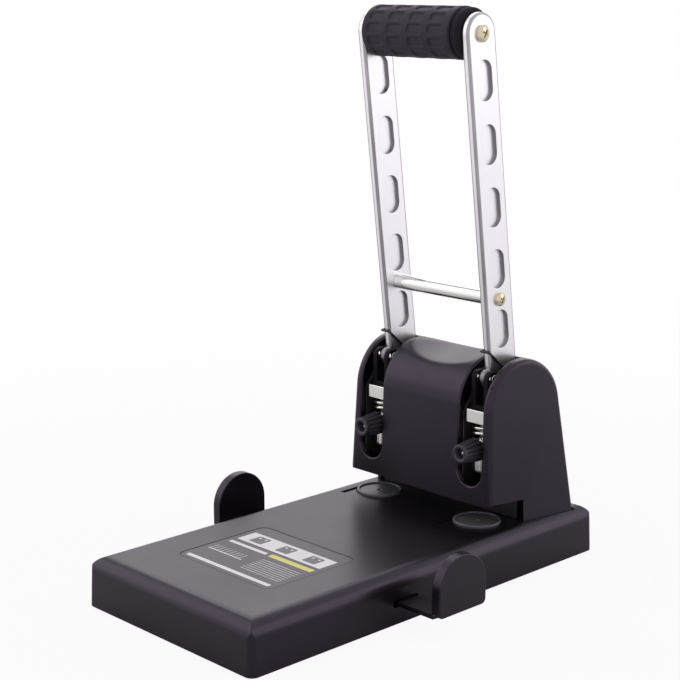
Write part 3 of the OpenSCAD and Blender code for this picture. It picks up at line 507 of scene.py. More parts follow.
def settle(thing):
    """Turn an object's modifiers into plain mesh."""
    graph = bpy.context.evaluated_depsgraph_get()
    mesh = bpy.data.meshes.new_from_object(
        thing.evaluated_get(graph), preserve_all_data_layers=True, depsgraph=graph
    )
    old = thing.data
    thing.modifiers.clear()
    thing.data = mesh
    bpy.data.meshes.remove(old)
    return thing


def thing_of(name, mesh):
    made = bpy.data.objects.new(name, mesh)
    bpy.context.scene.collection.objects.link(made)
    return made


def settled(name, work):
    """An object of a bmesh. Large faces lead its normals, so they stay flat beside rounded edges."""
    thing = thing_of(name, mesh_of(work, name))
    weight = thing.modifiers.new("level", "WEIGHTED_NORMAL")
    weight.keep_sharp = True
    weight.weight = 80
    return settle(thing)


def coat(thing, material):
    thing.data.materials.clear()
    thing.data.materials.append(material)


def piece(thing, material, slot, *nodes, body=None):
    """Give a finished object its finish, its body and the CAD nodes that it stands for."""
    coat(thing, material)
    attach(thing, body or BODY_OF[nodes[0]])
    if nodes:
        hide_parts(*nodes)


def softened(name, node, width, material, slot, steps=2, chosen=None):
    """A CAD node's copy with its sharp edges rounded."""
    work = joined(node)
    soften(work, sharp_edges(work, chosen), width, steps)
    piece(settled(name, work), material, slot, node)


def lathe(profile, steps, name):
    """Mesh turned about Z from (radius, height) pairs: from axis to axis, or round to the first pair."""
    work = bmesh.new()
    work.faces.layers.float.new("edge_wear_and_shade")
    rings = []
    for radius, height in profile:
        if radius < 1e-7:
            rings.append([work.verts.new((0, 0, height))])
            continue
        rings.append([
            work.verts.new((radius * math.cos(turn), radius * math.sin(turn), height))
            for turn in (2 * math.pi * i / steps for i in range(steps))
        ])
    for low, high in zip(rings, rings[1:]):
        for i in range(steps):
            j = (i + 1) % steps
            corners = [low[i % len(low)], low[j % len(low)], high[j % len(high)], high[i % len(high)]]
            work.faces.new(list(dict.fromkeys(corners)))
    bmesh.ops.remove_doubles(work, verts=work.verts, dist=JOIN_DISTANCE)
    bmesh.ops.recalc_face_normals(work, faces=work.faces)
    return mesh_of(work, name)


# Lays a turned mesh down from Z to X
ALONG_X = Matrix(((0, 0, 1, 0), (1, 0, 0, 0), (0, 1, 0, 0), (0, 0, 0, 1)))


def arc(middle, radius, start, end, steps):
    """Points of an arc in a plane, in degrees."""
    return [
        (middle[0] + radius * math.cos(turn), middle[1] + radius * math.sin(turn))
        for turn in (math.radians(start + (end - start) * i / steps) for i in range(steps + 1))
    ]


class Rule:
    """A Geometry Nodes tree with named inputs that ends in Realize Instances and Set Material."""

    def __init__(self, name, **inputs):
        self.tree = bpy.data.node_groups.new(name, "GeometryNodeTree")
        self.net = Net(self.tree)
        face = self.tree.interface
        face.new_socket("Geometry", in_out="INPUT", socket_type="NodeSocketGeometry")
        for key, kind in inputs.items():
            face.new_socket(key, in_out="INPUT", socket_type="NodeSocket" + kind)
        face.new_socket("Material", in_out="INPUT", socket_type="NodeSocketMaterial")
        face.new_socket("Geometry", in_out="OUTPUT", socket_type="NodeSocketGeometry")
        source = self.net.node("NodeGroupInput").port.node
        self.inputs = {port.name: Sock(self.net, port) for port in source.outputs if port.name}

    def __getitem__(self, key):
        return self.inputs[key]

    def end(self, shape):
        net = self.net
        smooth = net.node("GeometryNodeSetShadeSmooth", values={"Geometry": shape})
        real = net.node("GeometryNodeRealizeInstances", values={"Geometry": smooth})
        values = {"Geometry": real, "Material": self["Material"]}
        dressed = net.node("GeometryNodeSetMaterial", values=values)
        net.node("NodeGroupOutput", values={0: dressed})
        return self

    def shape(self, thing, **values):
        """Run the rule on an object, and keep the result as plain mesh."""
        modifier = thing.modifiers.new(self.tree.name, "NODES")
        modifier.node_group = self.tree
        for item in self.tree.interface.items_tree:
            if item.item_type == "SOCKET" and item.in_out == "INPUT" and item.name in values:
                modifier[item.identifier] = values[item.name]
        settle(thing)
        thing.data.set_sharp_from_angle(angle=SHADE_ANGLE)
        return thing


def wire_rule():
    """Round wire along a line of edges."""
    rule = Rule("wire_along_path", Radius="Float", Sides="Int")
    net = rule.net
    path = net.node("GeometryNodeMeshToCurve", values={"Mesh": rule["Geometry"]})
    profile = {"Resolution": rule["Sides"], "Radius": rule["Radius"]}
    round_wire = net.node("GeometryNodeCurvePrimitiveCircle", {"mode": "RADIUS"}, profile)
    values = {"Curve": path, "Profile Curve": round_wire, "Fill Caps": True}
    return rule.end(net.node("GeometryNodeCurveToMesh", values=values))


def pattern_rule():
    """One pattern object at every point, aimed along the point's aim and turned about it."""
    rule = Rule("pattern_on_points", Pattern="Object")
    net = rule.net
    aim = net.node(
        "GeometryNodeInputNamedAttribute", {"data_type": "FLOAT_VECTOR"}, {"Name": "aim"}
    )
    spin = net.node("GeometryNodeInputNamedAttribute", {"data_type": "FLOAT"}, {"Name": "spin"})
    facing = net.node("FunctionNodeAlignRotationToVector", {"axis": "Z"}, {"Vector": aim})
    twist = net.node("FunctionNodeAxisAngleToRotation", values={"Axis": (0, 0, 1), "Angle": spin})
    turned = net.node(
        "FunctionNodeRotateRotation", {"rotation_space": "LOCAL"},
        {"Rotation": facing, "Rotate By": twist},
    )
    pattern = net.node("GeometryNodeObjectInfo", values={"Object": rule["Pattern"]}, out="Geometry")
    values = {"Points": rule["Geometry"], "Instance": pattern, "Rotation": turned}
    return rule.end(net.node("GeometryNodeInstanceOnPoints", values=values))


def dimple_rule():
    """Rows of rounded dimples pressed into a sleeve that lies along X."""
    rule = Rule(
        "dimpled_sleeve", Pitch="Float", Rows="Float", Columns="Float", Length="Float",
        Width="Float", Depth="Float", Corner="Float", Shift="Float",
    )
    net = rule.net
    place = net.node("GeometryNodeInputPosition")
    x, y, z = net.split(place)
    radius = net.maths("SQRT", y * y + z * z)
    turn = net.maths("ARCTAN2", z, y) / (2 * math.pi) + 0.5
    span = rule["Pitch"] * rule["Columns"] * 0.5
    along = x - rule["Shift"]
    column = net.maths("FRACT", (along + span) / rule["Pitch"] + 20.0) - 0.5
    row = net.maths("FRACT", turn * rule["Rows"]) - 0.5
    across = abs(row) * (2 * math.pi) * radius / rule["Rows"]
    reach_x = abs(column) * rule["Pitch"] - (rule["Length"] * 0.5 - rule["Corner"])
    reach_y = across - (rule["Width"] * 0.5 - rule["Corner"])
    out_x = reach_x.above(0.0)
    out_y = reach_y.above(0.0)
    away = net.maths("SQRT", out_x * out_x + out_y * out_y)
    away = away + reach_x.above(reach_y).below(0.0) - rule["Corner"]
    inside = net.maths("LESS_THAN", abs(along), span)
    pressed = (1 - net.step(away, -0.55 * MM, 0.25 * MM)) * inside
    scale = 1 - pressed * rule["Depth"] / radius
    moved = net.node("ShaderNodeCombineXYZ", values={0: x, 1: y * scale, 2: z * scale})
    shaped = net.node(
        "GeometryNodeSetPosition", values={"Geometry": rule["Geometry"], "Position": moved}
    )
    kept = net.node(
        "GeometryNodeStoreNamedAttribute", {"data_type": "FLOAT", "domain": "POINT"},
        {"Geometry": shaped, "Name": "dimple", "Value": pressed},
    )
    return rule.end(kept)


def rib_rule():
    """Rounded ribs round a turned piece that stands along Z, between two heights."""
    rule = Rule("ribbed_knob", Ribs="Float", Depth="Float", Low="Float", High="Float", Blend="Float")
    net = rule.net
    x, y, z = net.split(net.node("GeometryNodeInputPosition"))
    radius = net.maths("SQRT", x * x + y * y)
    turn = net.maths("ARCTAN2", y, x) * rule["Ribs"]
    valley = 0.5 - 0.5 * net.maths("COSINE", turn)
    valley = net.maths("POWER", valley, 2.2)
    skin = net.node("GeometryNodeInputNamedAttribute", {"data_type": "FLOAT"}, {"Name": "skin"})
    lower = net.step(z, rule["Low"], rule["Low"] + rule["Blend"])
    upper = 1 - net.step(z, rule["High"] - rule["Blend"], rule["High"])
    scale = 1 - valley * lower * upper * skin * rule["Depth"] / radius.above(1e-6)
    moved = net.node("ShaderNodeCombineXYZ", values={0: x * scale, 1: y * scale, 2: z})
    values = {"Geometry": rule["Geometry"], "Position": moved}
    return rule.end(net.node("GeometryNodeSetPosition", values=values))


def points_thing(name, places):
    """Loose points with an aim and a turn, for a pattern. Places are (point, aim, turn in degrees)."""
    mesh = bpy.data.meshes.new(name)
    mesh.from_pydata([place[0] for place in places], [], [])
    aim = mesh.attributes.new("aim", "FLOAT_VECTOR", "POINT")
    aim.data.foreach_set("vector", [part for place in places for part in place[1]])
    spin = mesh.attributes.new("spin", "FLOAT", "POINT")
    spin.data.foreach_set("value", [math.radians(place[2]) for place in places])
    return thing_of(name, mesh)


def path_thing(name, points):
    mesh = bpy.data.meshes.new(name)
    mesh.from_pydata(points, [(i, i + 1) for i in range(len(points) - 1)], [])
    return thing_of(name, mesh)


def cross_screw(name, head_r, head_h, shank_r, shank_l):
    """Pattern of a pan-head screw: its seat at z = 0, a cross recess in the dome, a plain shank below."""
    dome = head_h * 0.55
    bulge = (head_r * head_r + dome * dome) / (2 * dome)
    start = math.degrees(math.asin(head_r * 0.985 / bulge))
    crown = [
        (bulge * math.sin(math.radians(turn)), head_h - bulge + bulge * math.cos(math.radians(turn)))
        for turn in (start * (1 - i / 8) for i in range(9))
    ]
    profile = [(0, -shank_l), (shank_r * 0.8, -shank_l), (shank_r, -shank_l + shank_r * 0.3)]
    profile += [(shank_r, 0), (head_r * 0.97, 0), (head_r, head_h * 0.1)]
    profile += [(head_r, head_h - dome)] + crown[:-1] + [(0, head_h)]
    thing = thing_of(name, lathe(profile, 40, name))
    deep = head_h * 0.75
    reach = head_r * 0.62
    for turn in (0, 90):
        work = bmesh.new()
        outline = ((-reach, head_h * 1.2), (reach, head_h * 1.2), (reach * 0.45, head_h - deep))
        outline += ((-reach * 0.45, head_h - deep),)
        half = head_r * 0.13
        front = [work.verts.new((x, -half, z)) for x, z in outline]
        back = [work.verts.new((x, half, z)) for x, z in outline]
        work.faces.new(front)
        work.faces.new(back[::-1])
        for i in range(4):
            j = (i + 1) % 4
            work.faces.new((front[i], back[i], back[j], front[j]))
        bmesh.ops.rotate(work, verts=work.verts, matrix=Matrix.Rotation(math.radians(turn), 3, "Z"))
        bmesh.ops.recalc_face_normals(work, faces=work.faces)
        cutter = thing_of(name + "_cross", mesh_of(work, name + "_cross"))
        cut = thing.modifiers.new("cross", "BOOLEAN")
        cut.object = cutter
        cut.solver = "EXACT"
        settle(thing)
        bpy.data.objects.remove(cutter)
    return thing


def pattern_piece(name, pattern, places, material, slot, *nodes, body=None):
    """Instances of one pattern, kept as one plain mesh on one body. The pattern is used up."""
    thing = RULES["pattern"].shape(points_thing(name, places), Pattern=pattern, Material=material)
    bpy.data.objects.remove(pattern)
    piece(thing, material, slot, *nodes, body=body)


def length_property(name, description, default, low, high):
    """A length, with its default and limits in millimetres."""
    return FloatProperty(
        name=name, description=description, default=default * MM, min=low * MM, max=high * MM,
        precision=5, unit="LENGTH",
    )


def count_property(name, description, default, low, high):
    return IntProperty(name=name, description=description, default=default, min=low, max=high)


class PunchSizes(PropertyGroup):
    """Sizes of the details that the CAD frame leaves to the surfaces."""

    moulded_edge: length_property("Moulded edge", "Rounding of the mouldings' sharp edges", 0.4, 0.05, 1.0)
    tower_end: length_property("Tower end edge", "Rounding of the arch at its two ends", 3.0, 0.5, 4.0)
    slot_rim: length_property("Slot rim", "Rounding of the tower's slots", 1.3, 0.2, 2.0)
    scoop_rim: length_property("Scoop rim", "Rounding of the scoop in the tower's top", 1.6, 0.2, 3.0)
    bar_edge: length_property("Bar edge", "Rounding of the lever bars' edges", 1.5, 0.1, 2.0)
    dimple_rows: count_property("Dimple rows", "Rows of dimples round the grip", 12, 6, 20)
    dimple_columns: count_property("Dimple columns", "Dimples along the grip", 4, 2, 8)
    dimple_pitch: length_property("Dimple pitch", "Distance between dimples along the grip", 15.6, 8, 30)
    dimple_depth: length_property("Dimple depth", "Depth of the grip's dimples", 0.9, 0.1, 2.0)
    return_wire: length_property("Return wire", "Thickness of the return springs' wire", 1.3, 0.5, 1.5)
    clamp_wire: length_property("Clamp wire", "Thickness of the clamp springs' wire", 2.3, 0.5, 2.4)
    knob_ribs: count_property("Knob ribs", "Ribs round a knob", 14, 8, 24)


def colour_property(name, description, default):
    return FloatVectorProperty(
        name=name, description=description, default=default, min=0.0, max=1.0, subtype="COLOR"
    )


class PunchColours(PropertyGroup):
    """Colours of the finishes."""

    moulding: colour_property("Moulding", "Base, tower and guides", (0.0048, 0.0040, 0.0056))
    knob: colour_property("Knob", "Clamping knobs", (0.048, 0.045, 0.055))
    disc: colour_property("Disc", "Cutting discs", (0.120, 0.115, 0.132))
    rubber: colour_property("Rubber", "Grip and feet", (0.020, 0.0165, 0.022))
    bar: colour_property("Bar", "Lever bars", (0.865, 0.83, 0.885))
    # Dark tone of the bars' edges, hollow walls and lug: painted shade.
    bar_painted_shade: colour_property("Bar, painted shade", "Painted shade on the bars' edges, hollow walls and lug", (0.20, 0.185, 0.205))
    bright: colour_property("Bright metal", "Holders and spacer rod", (0.87, 0.86, 0.845))
    brass: colour_property("Lever screw", "Yellow-plated lever screws", (0.66, 0.59, 0.44))
    steel: colour_property("Steel", "Axle, punches and the grip's tube", (0.56, 0.55, 0.54))
    # The frames' and paper stop's near-black stands in for the shade inside the tower: painted shade.
    frame: colour_property("Frame", "Frames and paper stop", (0.022, 0.021, 0.024))
    spring: colour_property("Spring", "Return springs", (0.014, 0.014, 0.016))
    clamp: colour_property("Clamp spring", "Springs in the punch units", (0.78, 0.75, 0.70))
    zinc: colour_property("Zinc", "Screws of the plate, tower and frames", (0.66, 0.66, 0.68))
    plate: colour_property("Bottom plate", "Paint of the bottom plate", (0.018, 0.018, 0.02))
    pinion: colour_property("Pinion", "Nylon of the pinion", (0.55, 0.53, 0.48))
    label: colour_property("Label ground", "Ground of the label", (0.030, 0.026, 0.033))
    panel: colour_property("Label panel", "Panels of the label", (0.86, 0.85, 0.86))
    strip: colour_property("Label strip", "Strip of the label", (0.80, 0.74, 0.10))
    ink: colour_property("Label ink", "Marks on the label's panels", (0.09, 0.085, 0.095))


RULES = {}
FINISH = {}


def sizes():
    return bpy.context.scene.punch_sizes


def colours():
    return bpy.context.scene.punch_colours


class PUNCH_OT_finishes(Operator):
    """Make the finishes and the rules that the other operators use"""

    bl_idname = "punch.finishes"
    bl_label = "Finishes"

    def execute(self, context):
        paint = colours()
        along_lever = (-LEVER_LEAN, 0, 0)
        FINISH["moulding"] = moulding("moulded_charcoal", paint.moulding)
        FINISH["knob"] = moulding("knob_black", paint.knob, 0.36, 0.5 * MM, 0.02 * MM)
        FINISH["disc"] = moulding("disc_nylon", paint.disc, 0.33, 0.9 * MM, 0.02 * MM)
        FINISH["yoke"] = moulding("yoke_black", tint(paint.knob, 0.15), 0.6, gloss=0.15)
        FINISH["pinion"] = moulding("pinion_white", paint.pinion, 0.45)
        FINISH["rubber"] = rubber("grip_rubber", paint.rubber)
        # The bar finish paints shade on the bars' edges, hollow walls and lug.
        FINISH["bar"] = lacquered("bar_silver", paint.bar, paint.bar_painted_shade, along_lever)
        FINISH["bright"] = plated("holder_plating", paint.bright)
        FINISH["rod"] = brushed("rod_drawn", paint.bright, 0.14, (10, 1200, 1200))
        FINISH["brass"] = plated("screw_yellow_plating", paint.brass, 0.17)
        FINISH["screw"] = plated("screw_zinc", paint.zinc, 0.28)
        FINISH["steel"] = brushed("frame_sheet_steel", paint.steel, 0.36, (300, 300, 20))
        # Frames and paper stop: near-black as painted shade, with edges worn to the metal.
        FINISH["frame"] = worn_sheet("frame_painted_shade", paint.frame, paint.steel)
        FINISH["spring"] = blackened("spring_black", paint.spring)
        FINISH["spring_bright"] = plated("spring_drawn", paint.clamp, 0.22)
        FINISH["sheet"] = painted_sheet("bottom_plate_paint", paint.plate)
        RULES["wire"] = wire_rule()
        RULES["pattern"] = pattern_rule()
        RULES["dimple"] = dimple_rule()
        RULES["rib"] = rib_rule()
        return {"FINISHED"}


class PUNCH_OT_base(Operator):
    """Build the base moulding, its bottom plate, feet and plate screws"""

    bl_idname = "punch.base"
    bl_label = "Base"

    def execute(self, context):
        edge = sizes().moulded_edge
        softened("base_moulding", "base", edge, FINISH["moulding"], "body")
        softened("bottom_plate_sheet", "base_plate", SHEET_EDGE, FINISH["sheet"], "plate_steel")
        self.feet()
        self.screws()
        return {"FINISHED"}

    @staticmethod
    def feet():
        low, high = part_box("feet")
        radius = 8 * MM
        tall = high.z - low.z
        corner = 0.9 * MM
        profile = [(0, 0), (radius * 0.45, 0), (radius * 0.5, 0.25 * MM), (radius * 0.62, 0.25 * MM)]
        profile += [(radius * 0.66, 0)]
        profile += arc((radius - corner, corner), corner, -90, 0, 5)
        profile += [(radius, tall), (0, tall)]
        pattern = thing_of("foot_pattern", lathe(profile, 48, "foot_pattern"))
        places = [
            ((x, y, low.z), (0, 0, 1), 0)
            for x in (low.x + radius, high.x - radius)
            for y in (low.y + radius, high.y - radius)
        ]
        pattern_piece("rubber_feet", pattern, places, FINISH["rubber"], "rubber", "feet")

    @staticmethod
    def screws():
        low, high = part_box("plate_screws")
        head_r, head_h, shank_r = 3 * MM, 1.3 * MM, 1.45 * MM
        seat = low.z + head_h
        pattern = cross_screw("plate_screw_pattern", head_r, head_h, shank_r, high.z - seat)
        ys = (low.y + head_r, PLATE_SCREW_Y, high.y - head_r)
        xs = (low.x + head_r, high.x - head_r)
        spots = [(x, y, seat) for x in xs for y in ys]
        places = [(spot, (0, 0, -1), 37 * i) for i, spot in enumerate(spots)]
        pattern_piece("plate_screw_set", pattern, places, FINISH["screw"], "screw_steel", "plate_screws")


class PUNCH_OT_label(Operator):
    """Build the label in its recess"""

    bl_idname = "punch.label"
    bl_label = "Label"

    def execute(self, context):
        film = printed_label("label_print", colours(), middle_of("label"))
        softened("label_film", "label", FILM_EDGE, film, "label")
        return {"FINISHED"}


class PUNCH_OT_discs(Operator):
    """Build the two cutting discs"""

    bl_idname = "punch.discs"
    bl_label = "Cutting discs"

    def execute(self, context):
        for side in SIDES:
            softened("cutting_disc_" + side, "disc_" + side, DISC_EDGE, FINISH["disc"], "disc", 4)
        return {"FINISHED"}


class PUNCH_OT_guides(Operator):
    """Build the paper guides and their rack drive"""

    bl_idname = "punch.guides"
    bl_label = "Paper guides"

    def execute(self, context):
        edge = sizes().moulded_edge
        for side in SIDES:
            softened(
                "paper_guide_" + side, "guide_" + side, edge * 1.5, FINISH["moulding"], "body", 3,
                lambda middle: abs(middle.x) > BASE_HIGH.x + 3 * MM,
            )
        coat(frame["nodes"]["guide_tray"], FINISH["moulding"])
        softened("rack_pinion", "pinion", TOOTH_EDGE, FINISH["pinion"], "pinion", 1)
        low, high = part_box("pinion_screw")
        middle = middle_of("pinion_screw")
        head_r, head_h, shank_r = (high.x - low.x) / 2, 1.6 * MM, 1.2 * MM
        seat = high.z - head_h
        pattern = cross_screw("pinion_screw_pattern", head_r, head_h, shank_r, seat - low.z)
        places = [((middle.x, middle.y, seat), (0, 0, 1), 20)]
        pattern_piece(
            "pinion_screw_head", pattern, places, FINISH["screw"], "screw_steel", "pinion_screw"
        )
        return {"FINISHED"}


def arch_depth(point):
    """How far a point lies inside the tower's arched outline."""
    along, up = point.y - ARCH_Y, point.z - ARCH_Z
    lean = FRONT_LEAN if along < 0 else BACK_LEAN
    along = abs(along)
    if up * math.cos(lean) > along * math.sin(lean):
        return ARCH_R - math.hypot(along, up)
    return ARCH_R - along * math.cos(lean) - up * math.sin(lean)


def to_scoop_axis(point):
    """The way from a point straight to the axis of the tower's scoop."""
    return SCOOP_AXIS + SCOOP_ALONG * (point - SCOOP_AXIS).dot(SCOOP_ALONG) - point


def on_scoop(point):
    return abs(to_scoop_axis(point).length - SCOOP_R) < 0.06 * MM


def arch_lean(point):
    """Angle of a point about the arch's axis, from the top towards the front."""
    return math.atan2(ARCH_Y - point.y, point.z - ARCH_Z)


def let_down(point, rim, soft):
    """Let a point of the arch down into the scoop, and say how much the scoop leads there."""
    away = to_scoop_axis(point)
    depth = SCOOP_R - away.length
    share = min(max((depth + rim) / (2 * rim), 0.0), 1.0)
    rounded = depth if share == 1.0 else rim * share * share
    push = soft * rounded + (1 - soft) * max(depth, 0.0)
    return point - away.normalized() * push, share


def scoop_ring(corners):
    """Vertices in order round the scoop, each with its turn about the middle."""
    def turn(corner):
        lean = (arch_lean(corner.co) - (SCOOP_FRONT + SCOOP_BACK) / 2) / (SCOOP_FRONT - SCOOP_BACK)
        return math.atan2(lean, corner.co.x / (2 * SCOOP_HALF))

    return sorted(((turn(corner), corner) for corner in corners), key=lambda pair: pair[0])


def zip_rings(work, outer, inner):
    """Fill the gap between two rings, each a list of (turn, vertex) in order."""
    made = []
    i = j = 0
    outer = outer + [(outer[0][0] + 2 * math.pi, outer[0][1])]
    inner = inner + [(inner[0][0] + 2 * math.pi, inner[0][1])]
    while i < len(outer) - 1 or j < len(inner) - 1:
        corners = [outer[i][1], inner[j][1]]
        if j == len(inner) - 1 or (i < len(outer) - 1 and outer[i + 1][0] <= inner[j + 1][0]):
            i += 1
            corners.append(outer[i][1])
        else:
            j += 1
            corners.append(inner[j][1])
        made.append(work.faces.new(corners))
    return made


class PUNCH_OT_tower(Operator):
    """Build the tower with rounded ends, slots and scoop"""

    bl_idname = "punch.tower"
    bl_label = "Tower"

    def execute(self, context):
        size = sizes()
        low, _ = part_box("tower")
        work = joined("tower")
        skin = 0.5 * MM
        slack = 0.3 * MM
        slot_side = PUNCH_X + SLOT_HALF

        def on_rim(point):
            near = abs(abs(point.x) - PUNCH_X) < SLOT_HALF + slack
            return near and arch_depth(point) < skin + slack and point.z > THROAT_LIP

        def on_end(point):
            outer = abs(point.x) > slot_side + 2 * MM
            return outer and arch_depth(point) < skin and point.z > low.z + 2.5 * MM

        def on_corner(point):
            return abs(point.x) > slot_side + 7 * MM and abs(point.z - THROAT_LIP) < 1.2 * MM

        self.scoop(work, size.scoop_rim)
        soften(work, sharp_edges(work, on_rim), size.slot_rim, 4)
        soften(work, sharp_edges(work, on_end), size.tower_end, 5)
        soften(work, sharp_edges(work, on_corner), size.tower_end * 0.5, 4)
        cover = settled("tower_cover", work)
        self.even_scoop(cover.data)
        piece(cover, FINISH["moulding"], "body", "tower")
        for node in ("tower_screws", "frame_screws"):
            coat(frame["nodes"][node], FINISH["screw"])
        return {"FINISHED"}

    def scoop(self, work, rim):
        """Lay the arch between the slots anew, as an even net that dips into the scoop over a round rim."""
        self.open_arch(work)
        lead = work.verts.layers.float.new("scoop_lead")
        laid = work.faces.layers.float.new("scoop_net")
        net = self.lay_net(work, lead, rim)
        faces = [
            work.faces.new((low[i], low[i + 1], high[i + 1], high[i]))
            for low, high in zip(net, net[1:])
            for i in range(len(low) - 1)
        ]
        open_rims = {corner for edge in work.edges if len(edge.link_faces) == 1 for corner in edge.verts}
        net_rim = set(net[0] + net[-1] + [row[k] for row in net for k in (0, -1)])
        faces += zip_rings(work, scoop_ring(open_rims - net_rim), scoop_ring(net_rim))
        for face in faces:
            face.normal_update()
            face[laid] = 1.0
            if face.normal.z < 0:
                face.normal_flip()

    @staticmethod
    def open_arch(work):
        """Cut the arch's skin along the scoop's four limits, and take out what lies within."""
        near = 0.01 * MM
        near_turn = 1e-4

        def skin(face):
            return all(
                point.z > ARCH_Z and (arch_depth(point) < 0.3 * MM or on_scoop(point))
                for point in (corner.co for corner in face.verts)
            )

        def within(face):
            return all(
                abs(point.x) < SCOOP_HALF + near
                and SCOOP_BACK - near_turn < arch_lean(point) < SCOOP_FRONT + near_turn
                for point in (corner.co for corner in face.verts)
            )

        cuts = [(Vector((x, 0, 0)), Vector((1, 0, 0))) for x in (-SCOOP_HALF, SCOOP_HALF)]
        for lean in (SCOOP_BACK, SCOOP_FRONT):
            cuts.append((ARCH_MIDDLE, Vector((0, math.cos(lean), math.sin(lean)))))
        for place, across in cuts:
            faces = [face for face in work.faces if skin(face)]
            edges = list(dict.fromkeys(edge for face in faces for edge in face.edges))
            corners = list(dict.fromkeys(corner for face in faces for corner in face.verts))
            bmesh.ops.bisect_plane(
                work, geom=faces + edges + corners, dist=near / 10, plane_co=place, plane_no=across
            )
        gone = [face for face in work.faces if skin(face) and within(face)]
        bmesh.ops.delete(work, geom=gone, context="FACES")

    @staticmethod
    def lay_net(work, lead, rim):
        """Rows of new vertices over the opening, each with the scoop's lead there."""
        wide = SCOOP_HALF - SCOOP_STEP / 2
        margin = SCOOP_STEP / 2 / ARCH_R
        first = SCOOP_BACK + margin
        span = SCOOP_FRONT - SCOOP_BACK - 2 * margin
        columns = round(2 * wide / SCOOP_STEP)
        rows = round(span * ARCH_R / SCOOP_STEP)
        net = []
        for j in range(rows + 1):
            lean = first + span * j / rows
            up = Vector((0, -math.sin(lean), math.cos(lean)))
            net.append([])
            for i in range(columns + 1):
                x = wide * (2 * i / columns - 1)
                soft = min((SCOOP_HALF - abs(x)) / SCOOP_EASE, 1.0)
                point, share = let_down(ARCH_MIDDLE + Vector((x, 0, 0)) + up * ARCH_R, rim, soft)
                corner = work.verts.new(point)
                corner[lead] = share * soft
                net[-1].append(corner)
        return net

    @staticmethod
    def even_scoop(mesh):
        """Shade the scoop and its rim as one smooth hollow."""
        normals = [corner.vector.copy() for corner in mesh.corner_normals]
        lead = mesh.attributes["scoop_lead"].data
        laid = mesh.attributes["scoop_net"].data
        for polygon in mesh.polygons:
            if laid[polygon.index].value < 0.5:
                continue
            for corner, i in zip(polygon.loop_indices, polygon.vertices):
                point = mesh.vertices[i].co
                arch = Vector((0, point.y - ARCH_Y, point.z - ARCH_Z)).normalized()
                normals[corner] = arch.lerp(to_scoop_axis(point).normalized(), lead[i].value).normalized()
        mesh.normals_split_custom_set(normals)
        for name in ("scoop_lead", "scoop_net"):
            mesh.attributes.remove(mesh.attributes[name])


class PUNCH_OT_frames(Operator):
    """Build the steel frames, the paper stop, the axle and its clips"""

    bl_idname = "punch.frames"
    bl_label = "Frames"

    def execute(self, context):
        # The near-black frame finish is painted shade for the tower's dark inside.
        dark = FINISH["frame"]
        for side in SIDES:
            softened("frame_sheet_" + side, "frame_" + side, SHEET_EDGE, dark, "plate_steel")
        softened("paper_stop", "stop_plate", SHEET_EDGE, dark, "plate_steel")
        softened("axle_rod", "axle", ROD_EDGE, FINISH["rod"], "frame_steel")
        softened("axle_clip_rings", "axle_clips", CLIP_EDGE, FINISH["spring"], "spring_steel")
        return {"FINISHED"}


class PUNCH_OT_lever(Operator):
    """Build the lever bars, the spacer rod, the grip's tube and the lever screws"""

    bl_idname = "punch.lever"
    bl_label = "Lever"

    def execute(self, context):
        size = sizes()
        for side in SIDES:
            self.bar(side, size.bar_edge)
        softened("spacer_bar_rod", "spacer_rod", SHEET_EDGE, FINISH["rod"], "bright")
        softened("grip_tube", "grip_core", SHEET_EDGE, FINISH["steel"], "frame_steel")
        softened("drive_pin_set", "drive_pins", PIN_EDGE, FINISH["rod"], "frame_steel")
        self.screws()
        return {"FINISHED"}

    @staticmethod
    def bar(side, edge):
        """A bar with rounded long edges, and hollows with eased rims and dull walls; its long edges, hollow walls
        and lug are marked for painted shade.
        """
        work = joined("bar_" + side)

        rim = BAR_HALF - 1 * MM
        lug_back = -BAR_HALF - 0.4 * MM

        def outer(point):
            place = TO_LEVER @ point
            past = max(-place.z, place.z - LEVER_LENGTH, 0)
            from_pin = math.hypot(place.y - DRIVE_PIN.y, place.z - DRIVE_PIN.z)
            return math.hypot(place.y, past) > rim and from_pin > PIN_CLEAR

        # The long edges get the edge mark, which the bar finish paints as shade.
        soften(work, sharp_edges(work, outer), edge, 4)
        # Painted shade: the hollows' walls and the lug are marked to be painted darker.
        painted_shade = work.faces.layers.float.new("painted_shade")
        rims = sharp_edges(work, lambda point: not outer(point))
        for face in work.faces:
            middle = face.calc_center_median()
            inner = abs(face.normal.x) < 0.5 and not outer(middle)
            lug = (TO_LEVER @ middle).y < lug_back
            face[painted_shade] = float(inner or lug)
        soften(work, rims, SHEET_EDGE, mark_edges=False)
        piece(settled("lever_bar_" + side, work), FINISH["bar"], "bar", "bar_" + side)

    @staticmethod
    def screws():
        """Four screws. The pair at the grip stands for the CAD node of all four."""
        _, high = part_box("bar_right")
        rise = 3 * MM
        shank_l = 12.8 * MM
        for name, head_r, shank_r, along, nodes in (
            ("grip_screw", 4.75 * MM, 2.45 * MM, LEVER_LENGTH, ("lever_screws",)),
            ("rod_screw", 3.99 * MM, 1.45 * MM, ROD_ALONG, ()),
        ):
            pattern = cross_screw(name + "_pattern", head_r, rise, shank_r, shank_l)
            places = [
                (IN_LEVER @ Vector((side * high.x, 0, along)), (side, 0, 0), 25 + 40 * side)
                for side in SIDES.values()
            ]
            pattern_piece(
                name + "_set", pattern, places, FINISH["brass"], "lever_screw", *nodes, body="lever"
            )


